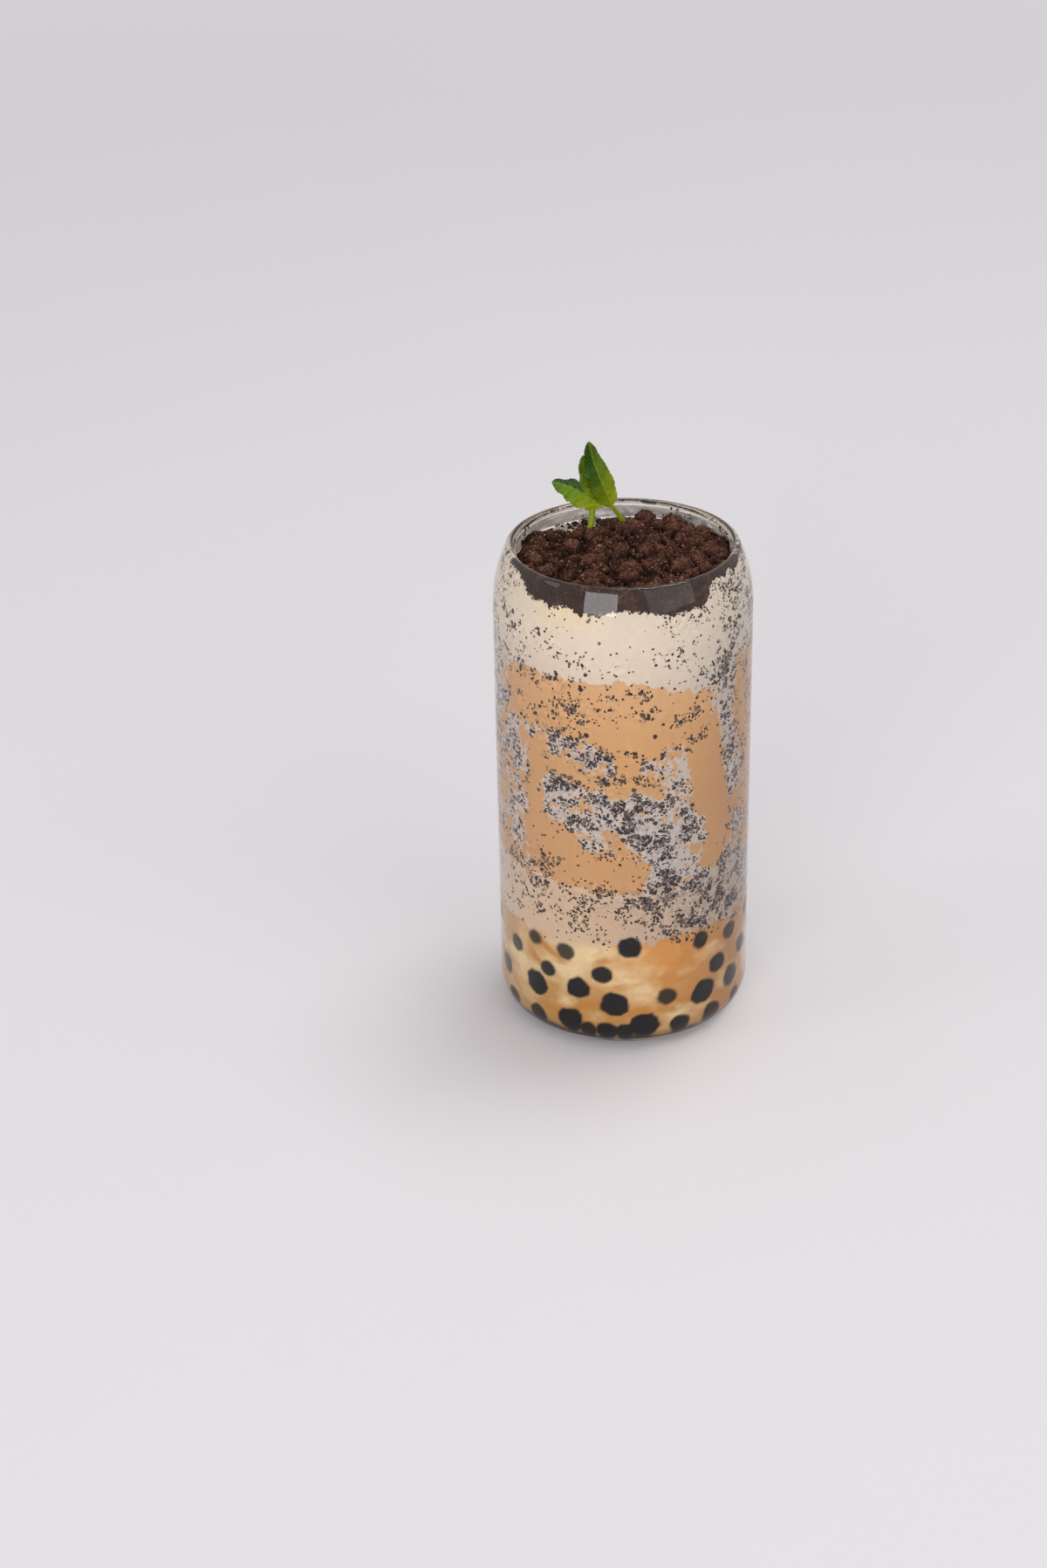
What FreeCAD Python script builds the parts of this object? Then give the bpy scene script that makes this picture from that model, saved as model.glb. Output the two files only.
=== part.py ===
"""A can-shaped drinking glass of layered bubble tea, topped with cookie crumbs and mint.

Millimetres, +Z up. The origin is the centre of the glass's foot, on the surface it stands on.
The glass is turned about Z. The drink fills it in layers whose boundaries are wavy, and each
layer is a solid that meets the wall and its neighbours face to face.
"""
import FreeCAD, Part
import math
import os

import Sketcher

V = FreeCAD.Vector

SIZES = {
    # the glass
    "glass_height": 149.0,
    "body_radius": 37.5,
    "rim_inset": 3.9,
    "shoulder_height": 18.9,
    "wall": 2.5,
    "base_thickness": 3.0,
    "foot_corner_radius": 9.0,
    "floor_corner_radius": 6.5,
    "foot_ring_width": 5.5,
    "punt_depth": 0.9,
    # the layers: the lower two are measured up from the floor and the upper two down from the
    # crumbs, so the milk tea between them takes what is left of the glass
    "pearl_tea_depth": 34.0,
    "cookie_cream_depth": 18.0,
    "cream_depth": 21.4,
    "layer_wave": 1.3,
    # the crumb heap: its level at the wall under the rim, its depth, its mound, and its lumps
    "crumbs_below_rim": 3.8,
    "crumb_depth": 2.8,
    "crumb_tilt": 0.06,
    "mound_rise": 5.2,
    "mound_radius": 12.5,
    "mound_right": 6.0,
    "mound_back": 9.0,
    "crumb_lump": 0.5,
    # the mint
    "leaf_thickness": 0.5,
    "tall_leaf_width": 9.4,
    "side_leaf_width": 9.8,
    "small_leaf_width": 5.6,
    "petiole_radius": 0.85,
    "stem_radius": 1.0,
    "stem_sunk": 3.5,
}

# Where the mint stands, from the glass's axis: right, back and up from the crumbs' level at
# the wall, because it stands in the crumbs. Each stem runs from its root to its leaf's base.
# Each leaf runs from its base over a bend to its tip, and its upper side faces one way.
TALL_LEAF = {
    "root": V(-0.8, 16.0, 5.6),
    "base": V(-3.3, 14.0, 8.6),
    "bend": V(-6.9, 11.8, 16.8),
    "tip": V(-10.1, 11.5, 30.0),
    "upper_side": V(-0.35, 1.0, 0.15),
    "fold_deg": 24.0,
    "widest": 0.38,
}
SIDE_LEAF = {
    "root": V(-9.2, 12.5, 2.6),
    "base": V(-7.7, 13.8, 8.4),
    "bend": V(-14.0, 17.0, 16.0),
    "tip": V(-20.4, 18.0, 13.7),
    "upper_side": V(0.15, -0.65, 0.75),
    "fold_deg": -18.0,
    "widest": 0.45,
}
SMALL_LEAF = {
    "base": V(-7.7, 13.8, 8.4),
    "bend": V(-9.4, 18.4, 14.8),
    "tip": V(-10.9, 17.5, 23.2),
    "upper_side": V(-0.3, -0.9, 0.3),
    "fold_deg": 18.0,
    "widest": 0.5,
}

# The radius of the circle midway through the shoulder's wall, from the sizes of the shoulder.
SHOULDER_MID_RADIUS = (
    "((Sizes.shoulder_height - Sizes.wall / 2)^2 + Sizes.rim_inset^2) / (2 * Sizes.rim_inset)"
)
RIM_RADIUS = "(Sizes.body_radius - Sizes.rim_inset)"
PUNT_RADIUS = "(Sizes.body_radius - Sizes.foot_corner_radius - Sizes.foot_ring_width)"

START, END, CENTRE = 1, 2, 3  # the points of a sketch's line or arc
H_AXIS, V_AXIS = -1, -2  # a sketch's own axes; the start of each is the origin
WAVE_COLUMNS = 14  # grid points along each side of a wavy boundary
HEAP_COLUMNS = 26  # and of the crumb heap's top, whose lumps are smaller

doc = FreeCAD.newDocument("bubble_tea")


def make_sheet():
    """The spreadsheet that holds every driving size."""
    sheet = doc.addObject("Spreadsheet::Sheet", "Sizes")
    for row, (alias, value) in enumerate(SIZES.items(), start=1):
        sheet.set(f"A{row}", alias.replace("_", " "))
        sheet.set(f"B{row}", str(value))
        sheet.setAlias(f"B{row}", alias)
    doc.recompute()
    return sheet


sheet = make_sheet()


def size(alias):
    """A driving size's value, read from the sheet."""
    return float(getattr(sheet, alias))


def shoulder_mid_radius():
    """The value of SHOULDER_MID_RADIUS, for placing the sketches' first geometry."""
    rise = size("shoulder_height") - size("wall") / 2
    inset = size("rim_inset")
    return (rise**2 + inset**2) / (2 * inset)


def lip_centre():
    """The centre of the round lip's section, as (radius, height)."""
    rim_radius = size("body_radius") - size("rim_inset")
    return rim_radius - size("wall") / 2, size("glass_height") - size("wall") / 2


def layer_tops():
    """The heights of the layers' boundaries at the wall, from the lowest to the crumbs' own top."""
    pearl_tea = size("base_thickness") + size("pearl_tea_depth")
    crumbs = size("glass_height") - size("crumbs_below_rim")
    cream = crumbs - size("crumb_depth")
    return {
        "pearl_tea": pearl_tea,
        "cookie_cream": pearl_tea + size("cookie_cream_depth"),
        "milk_tea": cream - size("cream_depth"),
        "cream": cream,
        "crumbs": crumbs,
    }


# ---------------------------------------------------------------- sketches


def upright_sketch(body):
    """A sketch on the body's XZ plane: its x is a radius and its y a height."""
    plane = next(f for f in body.Origin.OriginFeatures if f.Role == "XZ_Plane")
    sketch = body.newObject("Sketcher::SketchObject", body.Name + "Profile")
    sketch.AttachmentSupport = [(plane, "")]
    sketch.MapMode = "FlatFace"
    return sketch


def line(sketch, start, end):
    """A line between two (radius, height) points."""
    return sketch.addGeometry(Part.LineSegment(V(*start, 0), V(*end, 0)), False)


def arc(sketch, centre, radius, start_deg, end_deg):
    """An arc about a (radius, height) point, counterclockwise between two angles."""
    circle = Part.Circle(V(*centre, 0), V(0, 0, 1), radius)
    turn = Part.ArcOfCircle(circle, math.radians(start_deg), math.radians(end_deg))
    return sketch.addGeometry(turn, False)


def rule(sketch, kind, *where):
    """A constraint with no size."""
    return sketch.addConstraint(Sketcher.Constraint(kind, *where))


def bind(sketch, expression, kind, *where):
    """A constraint whose size is an expression of the sheet's cells; where ends in a first value."""
    index = sketch.addConstraint(Sketcher.Constraint(kind, *where))
    sketch.setExpression(f"Constraints[{index}]", expression)
    return index


def turned_solid(name, sketch_profile):
    """A body whose profile is drawn by sketch_profile and turned once about Z."""
    body = doc.addObject("PartDesign::Body", name)
    sketch = upright_sketch(body)
    sketch_profile(sketch)
    doc.recompute()
    turned = body.newObject("PartDesign::Revolution", name + "Turned")
    turned.Profile = sketch
    turned.ReferenceAxis = (sketch, ["V_Axis"])
    turned.Angle = 360
    doc.recompute()
    return body


def glass_profile(sketch):
    """The glass's half section: domed punt, foot, corner, body, shoulder, round lip and inside."""
    radius, wall = size("body_radius"), size("wall")
    height, base = size("glass_height"), size("base_thickness")
    foot_corner, floor_corner = size("foot_corner_radius"), size("floor_corner_radius")
    punt = radius - foot_corner - size("foot_ring_width")
    dome = size("punt_depth")
    shoulder_start = height - size("shoulder_height")
    mid = shoulder_mid_radius()
    centre = (radius - wall / 2 - mid, shoulder_start)
    lip = lip_centre()
    lean = math.degrees(math.atan2(lip[1] - centre[1], lip[0] - centre[0]))
    dome_radius = (punt**2 + dome**2) / (2 * dome)
    dome_deg = math.degrees(math.asin(punt / dome_radius))
    inside = radius - wall

    punt_dome = arc(sketch, (0, dome - dome_radius), dome_radius, 90 - dome_deg, 90)
    foot = line(sketch, (punt, 0), (radius - foot_corner, 0))
    corner = arc(sketch, (radius - foot_corner, foot_corner), foot_corner, 270, 360)
    side = line(sketch, (radius, foot_corner), (radius, shoulder_start))
    shoulder = arc(sketch, centre, mid + wall / 2, 0, lean)
    rim = arc(sketch, lip, wall / 2, lean, lean + 180)
    throat = arc(sketch, centre, mid - wall / 2, 0, lean)
    inner_side = line(sketch, (inside, shoulder_start), (inside, base + floor_corner))
    inner_corner = arc(
        sketch, (inside - floor_corner, base + floor_corner), floor_corner, 270, 360
    )
    floor = line(sketch, (inside - floor_corner, base), (0, base))
    axis = line(sketch, (0, base), (0, dome))

    rule(sketch, "Coincident", punt_dome, START, foot, START)
    rule(sketch, "Tangent", foot, END, corner, START)
    rule(sketch, "Tangent", corner, END, side, START)
    rule(sketch, "Tangent", side, END, shoulder, START)
    rule(sketch, "Tangent", shoulder, END, rim, START)
    rule(sketch, "Tangent", rim, END, throat, END)
    rule(sketch, "Tangent", throat, START, inner_side, START)
    rule(sketch, "Tangent", inner_side, END, inner_corner, END)
    rule(sketch, "Tangent", inner_corner, START, floor, START)
    rule(sketch, "Coincident", floor, END, axis, START)
    rule(sketch, "Coincident", axis, END, punt_dome, END)
    rule(sketch, "Coincident", shoulder, CENTRE, throat, CENTRE)
    rule(sketch, "Horizontal", foot)
    rule(sketch, "Vertical", side)
    rule(sketch, "Vertical", inner_side)
    rule(sketch, "Horizontal", floor)
    rule(sketch, "PointOnObject", axis, START, V_AXIS)
    rule(sketch, "PointOnObject", axis, END, V_AXIS)
    rule(sketch, "PointOnObject", punt_dome, CENTRE, V_AXIS)
    rule(sketch, "PointOnObject", foot, START, H_AXIS)
    bind(sketch, PUNT_RADIUS, "DistanceX", V_AXIS, START, foot, START, punt)
    bind(sketch, "Sizes.punt_depth", "DistanceY", V_AXIS, START, axis, END, dome)
    bind(sketch, "Sizes.body_radius", "DistanceX", V_AXIS, START, side, START, radius)
    bind(sketch, "Sizes.foot_corner_radius", "Radius", corner, foot_corner)
    bind(sketch, "Sizes.glass_height - Sizes.shoulder_height",
         "DistanceY", V_AXIS, START, side, END, shoulder_start)
    bind(sketch, RIM_RADIUS + " - Sizes.wall / 2",
         "DistanceX", V_AXIS, START, rim, CENTRE, lip[0])
    bind(sketch, "Sizes.glass_height - Sizes.wall / 2",
         "DistanceY", V_AXIS, START, rim, CENTRE, lip[1])
    bind(sketch, "Sizes.body_radius - Sizes.wall",
         "DistanceX", V_AXIS, START, inner_side, START, inside)
    bind(sketch, "Sizes.floor_corner_radius", "Radius", inner_corner, floor_corner)
    bind(sketch, "Sizes.base_thickness", "DistanceY", V_AXIS, START, floor, START, base)


def filling_profile(sketch):
    """Half the space inside the glass, drawn on past the rim as a straight column."""
    radius, wall = size("body_radius"), size("wall")
    height, base = size("glass_height"), size("base_thickness")
    floor_corner = size("floor_corner_radius")
    shoulder_start = height - size("shoulder_height")
    mid = shoulder_mid_radius()
    centre = (radius - wall / 2 - mid, shoulder_start)
    lip = lip_centre()
    lean = math.atan2(lip[1] - centre[1], lip[0] - centre[0])
    inner = mid - wall / 2
    throat_end = (centre[0] + inner * math.cos(lean), centre[1] + inner * math.sin(lean))
    inside = radius - wall
    top = height + size("mound_rise") + size("mound_radius")

    floor = line(sketch, (0, base), (inside - floor_corner, base))
    corner = arc(
        sketch, (inside - floor_corner, base + floor_corner), floor_corner, 270, 360
    )
    side = line(sketch, (inside, base + floor_corner), (inside, shoulder_start))
    throat = arc(sketch, centre, inner, 0, math.degrees(lean))
    column = line(sketch, throat_end, (throat_end[0], top))
    lid = line(sketch, (throat_end[0], top), (0, top))
    axis = line(sketch, (0, top), (0, base))

    rule(sketch, "Tangent", floor, END, corner, START)
    rule(sketch, "Tangent", corner, END, side, START)
    rule(sketch, "Tangent", side, END, throat, START)
    rule(sketch, "Coincident", throat, END, column, START)
    rule(sketch, "Coincident", column, END, lid, START)
    rule(sketch, "Coincident", lid, END, axis, START)
    rule(sketch, "Coincident", axis, END, floor, START)
    rule(sketch, "Horizontal", floor)
    rule(sketch, "Vertical", side)
    rule(sketch, "Vertical", column)
    rule(sketch, "Horizontal", lid)
    rule(sketch, "PointOnObject", axis, START, V_AXIS)
    rule(sketch, "PointOnObject", axis, END, V_AXIS)
    bind(sketch, "Sizes.base_thickness", "DistanceY", V_AXIS, START, floor, START, base)
    bind(sketch, "Sizes.floor_corner_radius", "Radius", corner, floor_corner)
    bind(sketch, "Sizes.body_radius - Sizes.wall",
         "DistanceX", V_AXIS, START, side, START, inside)
    bind(sketch, "Sizes.glass_height - Sizes.shoulder_height",
         "DistanceY", V_AXIS, START, side, END, shoulder_start)
    bind(sketch, SHOULDER_MID_RADIUS + " - Sizes.wall / 2", "Radius", throat, inner)
    bind(sketch, "Sizes.glass_height - Sizes.wall / 2 - (Sizes.wall / 2) * "
         "(Sizes.shoulder_height - Sizes.wall / 2) / (" + SHOULDER_MID_RADIUS + ")",
         "DistanceY", V_AXIS, START, throat, END, throat_end[1])
    bind(sketch, "Sizes.glass_height + Sizes.mound_rise + Sizes.mound_radius",
         "DistanceY", V_AXIS, START, lid, START, top)


# ---------------------------------------------------------------- wavy layers


def waves(x, y, seed):
    """A smooth uneven pattern between about -1 and 1: three crossed sines, turned by the seed."""
    span = size("body_radius")
    total = 0.0
    for i, (cycles, share) in enumerate([(1.1, 0.5), (1.9, 0.3), (3.1, 0.2)]):
        turn = seed * 1.7 + i * 2.1
        along = x * math.cos(turn) + y * math.sin(turn)
        total += share * math.sin(cycles * math.pi * along / span + seed + 1.3 * i)
    return total


def wavy(level, seed):
    """A boundary that waves about a level, as a function of x and y."""
    return lambda x, y: level + size("layer_wave") * waves(x, y, seed)


def heap_height(x, y):
    """The crumb heap's top: level at the wall, lower at the back, with a lumpy mound."""
    right, back = x - size("mound_right"), y - size("mound_back")
    spread = 2 * size("mound_radius") ** 2
    mound = size("mound_rise") * math.exp(-(right**2 + back**2) / spread)
    pitch = size("mound_radius") / 2
    lumps = math.sin(x / pitch * 2.4 + 1.0) * math.sin(y / pitch * 2.1 + 0.4)
    return layer_tops()["crumbs"] - size("crumb_tilt") * y + mound + size("crumb_lump") * lumps


def space_below(name, height_at, columns):
    """All the space under a smooth surface z = height_at(x, y), down past the foot."""
    reach = size("body_radius") * 1.1
    steps = [reach * (2 * i / (columns - 1) - 1) for i in range(columns)]
    grid = [[V(x, y, height_at(x, y)) for y in steps] for x in steps]
    surface = Part.BSplineSurface()
    surface.interpolate(grid)
    below = surface.toShape().extrude(V(0, 0, -size("glass_height") * 1.5))
    feature = doc.addObject("Part::Feature", name)
    feature.Shape = below
    return feature


def layer(label, filling, below_top, below_bottom):
    """The part of the filling between two boundaries, or from the floor if there is no lower one."""
    up_to_top = doc.addObject("Part::Common", label + "_up_to_top")
    up_to_top.Base = filling
    up_to_top.Tool = below_top
    if below_bottom is None:
        up_to_top.Label = label
        return up_to_top
    between = doc.addObject("Part::Cut", label + "_between")
    between.Base = up_to_top
    between.Tool = below_bottom
    between.Label = label
    return between


# ---------------------------------------------------------------- mint


def above_crumbs(point):
    """A point of the mint's tables, measured up from the crumbs' level at the wall."""
    return V(point.x, point.y, point.z + layer_tops()["crumbs"])


def leaf_blade(leaf, width_alias):
    """A thin folded leaf: closed lens sections, lofted along an arched midrib."""
    base, bend, tip = (above_crumbs(leaf[k]) for k in ("base", "bend", "tip"))
    half_width, thickness = size(width_alias) / 2, size("leaf_thickness")
    fold = math.radians(leaf["fold_deg"])
    power = math.log(0.5) / math.log(leaf["widest"])
    stations, across = 9, 5

    def section(t):
        middle = base * (1 - t) ** 2 + bend * (2 * t * (1 - t)) + tip * t**2
        ahead = ((bend - base) * (1 - t) + (tip - bend) * t).normalize()
        side = V(leaf["upper_side"]).cross(ahead).normalize()
        up = ahead.cross(side).normalize()
        reach = half_width * math.sin(math.pi * t**power) ** 0.8

        def edge(sign):
            points = []
            for i in range(across):
                s = 2 * i / (across - 1) - 1
                out = side * (reach * s * math.cos(fold))
                lift = reach * abs(s) ** 1.3 * math.sin(fold)
                skin = sign * thickness / 2 * (1 - abs(s) ** 3)
                points.append(middle + out + up * (lift + skin))
            curve = Part.BSplineCurve()
            curve.interpolate(points)
            return curve.toShape()

        return Part.Wire([edge(1), edge(-1)])

    ends = 0.04  # how far the first and last sections stand in from the blade's ends
    wires = [section(ends + (1 - 2 * ends) * i / (stations - 1)) for i in range(stations)]
    return Part.makeLoft(wires, True, False)


def make_leaf(name, leaf, width_alias):
    """A leaf blade as a feature of the document."""
    feature = doc.addObject("Part::Feature", name)
    feature.Shape = leaf_blade(leaf, width_alias)
    return feature


def make_stem(name, leaf, radius_alias):
    """A round stem from under the crumbs, through its root in them, to a leaf's base."""
    root, base = above_crumbs(leaf["root"]), above_crumbs(leaf["base"])
    ahead = (base - root).normalize()
    foot = root - ahead * size("stem_sunk")
    stem = doc.addObject("Part::Cone", name)
    stem.Placement = FreeCAD.Placement(foot, FreeCAD.Rotation(V(0, 0, 1), ahead))
    stem.setExpression("Radius1", f"Sizes.{radius_alias}")
    stem.setExpression("Radius2", f"Sizes.{radius_alias} * 0.85")
    stem.setExpression("Height", f"Sizes.stem_sunk + {(base - root).Length + 0.8}")
    return stem


def fused(label, first, *others):
    """Features that grow as one piece, such as a stem and its leaves."""
    joined = doc.addObject("Part::MultiFuse", label + "_joined")
    joined.Shapes = [first, *others]
    joined.Label = label
    return joined


def cut_round(label, base, *tools):
    """A feature with room cut in it for each of the tools."""
    for i, tool in enumerate(tools):
        cut = doc.addObject("Part::Cut", f"{label}_round_{i}")
        cut.Base = base
        cut.Tool = tool
        base = cut
    base.Label = label
    return base


# ---------------------------------------------------------------- the whole


def build():
    """Makes every sub-part and returns those that are written out."""
    glass = turned_solid("Glass", glass_profile)
    glass.Label = "glass"
    filling = turned_solid("Filling", filling_profile)

    tops = layer_tops()
    below_cookie_cream = space_below("BelowCookieCream", wavy(tops["pearl_tea"], 1.0), WAVE_COLUMNS)
    below_milk_tea = space_below("BelowMilkTea", wavy(tops["cookie_cream"], 2.2), WAVE_COLUMNS)
    below_cream = space_below("BelowCream", wavy(tops["milk_tea"], 3.1), WAVE_COLUMNS)
    below_crumbs = space_below("BelowCrumbs", wavy(tops["cream"], 4.3), WAVE_COLUMNS)
    below_open_air = space_below("BelowOpenAir", heap_height, HEAP_COLUMNS)

    tall_blade = make_leaf("TallBlade", TALL_LEAF, "tall_leaf_width")
    petiole = make_stem("Petiole", TALL_LEAF, "petiole_radius")
    side_blade = make_leaf("SideBlade", SIDE_LEAF, "side_leaf_width")
    small_blade = make_leaf("SmallBlade", SMALL_LEAF, "small_leaf_width")
    stem = make_stem("Stem", SIDE_LEAF, "stem_radius")
    doc.recompute()

    mint_leaf = fused("mint_leaf", petiole, tall_blade)
    mint_sprig = fused("mint_sprig", stem, side_blade, small_blade)
    layers = [
        layer("pearl_tea", filling, below_cookie_cream, None),
        layer("cookie_cream", filling, below_milk_tea, below_cookie_cream),
        layer("milk_tea", filling, below_cream, below_milk_tea),
    ]
    cream = layer("cream_uncut", filling, below_crumbs, below_cream)
    top_cream = cut_round("top_cream", cream, petiole, stem)
    heap = layer("crumbs_uncut", filling, below_open_air, below_crumbs)
    crumb_heap = cut_round("crumb_heap", heap, petiole, stem)
    doc.recompute()
    return [glass, *layers, top_cream, crumb_heap, mint_leaf, mint_sprig]


def check(parts):
    """Stops if any object failed to recompute, or a sub-part isn't a sound solid."""
    for item in doc.Objects:
        bad = {"Invalid", "Error"} & set(item.State)
        if bad:
            raise RuntimeError(f"{item.Label} is {sorted(bad)}")
    for part in parts:
        shape = part.Shape
        if shape.isNull() or not shape.isValid() or shape.Volume <= 0:
            raise RuntimeError(f"{part.Label} has no sound shape")


def write(parts):
    """Writes each sub-part to parts/NODE.step and prints its solids and volume."""
    os.makedirs("parts", exist_ok=True)
    for part in parts:
        part.Shape.exportStep(f"parts/{part.Label}.step")
        box = part.Shape.BoundBox
        print(
            f"{part.Label}: {len(part.Shape.Solids)} solid, {part.Shape.Volume / 1000:.2f} cm3,"
            f" z {box.ZMin:.2f} to {box.ZMax:.2f}, x {box.XMin:.2f} to {box.XMax:.2f}"
        )


parts = build()
check(parts)
write(parts)
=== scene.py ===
import math

import bpy
import numpy as np
from mathutils import Matrix, Vector


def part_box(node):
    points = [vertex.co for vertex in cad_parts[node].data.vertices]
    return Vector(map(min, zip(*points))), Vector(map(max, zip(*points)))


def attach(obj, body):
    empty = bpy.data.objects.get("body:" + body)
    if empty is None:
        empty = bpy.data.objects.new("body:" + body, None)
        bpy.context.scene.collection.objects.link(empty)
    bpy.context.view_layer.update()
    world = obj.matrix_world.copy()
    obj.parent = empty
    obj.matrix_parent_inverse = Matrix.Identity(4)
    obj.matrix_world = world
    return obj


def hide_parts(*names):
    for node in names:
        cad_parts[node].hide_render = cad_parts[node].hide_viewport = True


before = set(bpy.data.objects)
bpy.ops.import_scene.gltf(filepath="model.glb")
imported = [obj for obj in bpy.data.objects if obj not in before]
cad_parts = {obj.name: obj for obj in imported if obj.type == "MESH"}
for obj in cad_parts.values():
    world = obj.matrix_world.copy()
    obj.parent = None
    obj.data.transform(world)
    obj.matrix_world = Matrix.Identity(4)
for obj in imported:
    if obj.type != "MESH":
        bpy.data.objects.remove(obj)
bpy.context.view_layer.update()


# ------------------------------------------------------------------ the glass
# A can-shaped drinking glass: machine-blown soda-lime glass, one even wall turned about Z, with a
# drawn-in shoulder, a fire-polished round lip, a rounded foot and a shallow dome under it.

MM = 0.001
GLASS_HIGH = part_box("glass")[1]
BODY_RADIUS = GLASS_HIGH.x / MM
RIM_HEIGHT = GLASS_HIGH.z / MM
WALL = 2.5
RIM_INSET = 3.9
SHOULDER_HEIGHT = 18.9
BASE_THICKNESS = 3.0
FOOT_CORNER = 9.0
FLOOR_CORNER = 6.5
FOOT_RING = 5.5
PUNT_DEPTH = 0.9
GLASS_COLUMNS = 288

INSIDE_RADIUS = BODY_RADIUS - WALL
SHOULDER_START = RIM_HEIGHT - SHOULDER_HEIGHT
SHOULDER_RISE = SHOULDER_HEIGHT - WALL / 2
SHOULDER_RADIUS = (SHOULDER_RISE**2 + RIM_INSET**2) / (2 * RIM_INSET)
SHOULDER_CENTRE = BODY_RADIUS - WALL / 2 - SHOULDER_RADIUS


def linear(code):
    """A colour's sRGB hex code as linear red, green and blue: each channel under 0.04045 is
    divided by 12.92, and each above has 0.055 added, is divided by 1.055 and raised to 2.4."""
    srgb = np.array([int(code[i:i + 2], 16) / 255 for i in (1, 3, 5)])
    return np.where(srgb <= 0.04045, srgb / 12.92, ((srgb + 0.055) / 1.055) ** 2.4)


def arc(centre, radius, start, end, count):
    """Points at a radius about a centre, at even angles from start to end in degrees."""
    turn = np.radians(np.linspace(start, end, count))
    return np.stack([centre[0] + radius * np.cos(turn), centre[1] + radius * np.sin(turn)], 1)


def make_piece(name, points, faces, material, nodes=()):
    """A smooth mesh object at the origin, from points in millimetres and a list of arrays of face
    corners, with its material. It rides on the root body, and may stand for CAD nodes."""
    mesh = bpy.data.meshes.new(name)
    mesh.vertices.add(len(points))
    mesh.vertices.foreach_set("co", (np.asarray(points) * MM).astype(np.float32).ravel())
    corners = np.concatenate([f.ravel() for f in faces]).astype(np.int32)
    sides = np.concatenate([np.full(len(f), f.shape[1]) for f in faces])
    mesh.loops.add(len(corners))
    mesh.loops.foreach_set("vertex_index", corners)
    mesh.polygons.add(len(sides))
    mesh.polygons.foreach_set("loop_start", (np.cumsum(sides) - sides).astype(np.int32))
    mesh.update(calc_edges=True)
    mesh.validate()
    mesh.shade_smooth()
    mesh.materials.append(material)
    piece = bpy.data.objects.new(name, mesh)
    bpy.context.scene.collection.objects.link(piece)
    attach(piece, "root")
    if nodes:
        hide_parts(*nodes)
    return piece


def ring_quads(rows, columns):
    """The corners of each face between the rings of a grid: rows of points, each closed on itself
    by its last column. It faces out where rows climb and columns run anticlockwise from above."""
    row, column = np.meshgrid(np.arange(rows - 1), np.arange(columns), indexing="ij")
    beside = (column + 1) % columns
    return np.stack([row * columns + column, row * columns + beside,
                     (row + 1) * columns + beside, (row + 1) * columns + column], -1).reshape(-1, 4)


def turned(radius, height, angles):
    """A closed surface about Z. radius and height have a row for each step along the profile and
    a column for each angle; the first and last rows are gathered into one point on the axis."""
    rows, columns = radius.shape
    x, y = radius * np.sin(angles), -radius * np.cos(angles)
    rings = np.stack([x, y, np.broadcast_to(height, radius.shape)], -1)[1:-1].reshape(-1, 3)
    first = [[0.0, 0.0, float(np.mean(height[0]))]]
    last = [[0.0, 0.0, float(np.mean(height[-1]))]]
    points = np.concatenate([rings, first, last])
    near = np.arange(columns)
    after = (near + 1) % columns
    last_ring = (rows - 3) * columns
    start = np.stack([np.full(columns, len(rings)), after, near], 1)
    end = np.stack([np.full(columns, len(rings) + 1), last_ring + near, last_ring + after], 1)
    return points, [start, ring_quads(rows - 2, columns), end]


def add_node(tree, kind, settings=(), **inputs):
    """A node of a material, with its settings, and its inputs each set to a value or linked to
    another node's output. An input's name has underscores for spaces, or is i and its number."""
    node = tree.nodes.new(kind)
    for key, value in dict(settings).items():
        setattr(node, key, value)
    for key, value in inputs.items():
        numbered = key[0] == "i" and key[1:].isdigit()
        socket = node.inputs[int(key[1:])] if numbered else node.inputs[key.replace("_", " ")]
        if isinstance(value, bpy.types.NodeSocket):
            tree.links.new(value, socket)
        else:
            socket.default_value = value
    return node


def new_material(name):
    """A named material with an empty node tree and its output node."""
    material = bpy.data.materials.new(name)
    material.use_nodes = True
    material.node_tree.nodes.clear()
    return material, material.node_tree, material.node_tree.nodes.new("ShaderNodeOutputMaterial")


def clear_glass():
    """Soda-lime glass: clear and smooth, so all its look is refraction and reflection. Lamps'
    rays pass straight in, so that the drink behind the wall is lit."""
    material, tree, out = new_material("clear_soda_lime_glass")
    body = add_node(tree, "ShaderNodeBsdfPrincipled", Base_Color=(*linear("#fbfdfc"), 1),
                    Roughness=0.0, IOR=1.5, Specular_Tint=(0.7, 0.7, 0.7, 1),
                    Transmission_Weight=1.0)
    passing = add_node(tree, "ShaderNodeBsdfTransparent")
    path = add_node(tree, "ShaderNodeLightPath")
    mix = add_node(tree, "ShaderNodeMixShader", i0=path.outputs["Is Shadow Ray"],
                   i1=body.outputs[0], i2=passing.outputs[0])
    tree.links.new(mix.outputs[0], out.inputs["Surface"])
    return material


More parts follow.
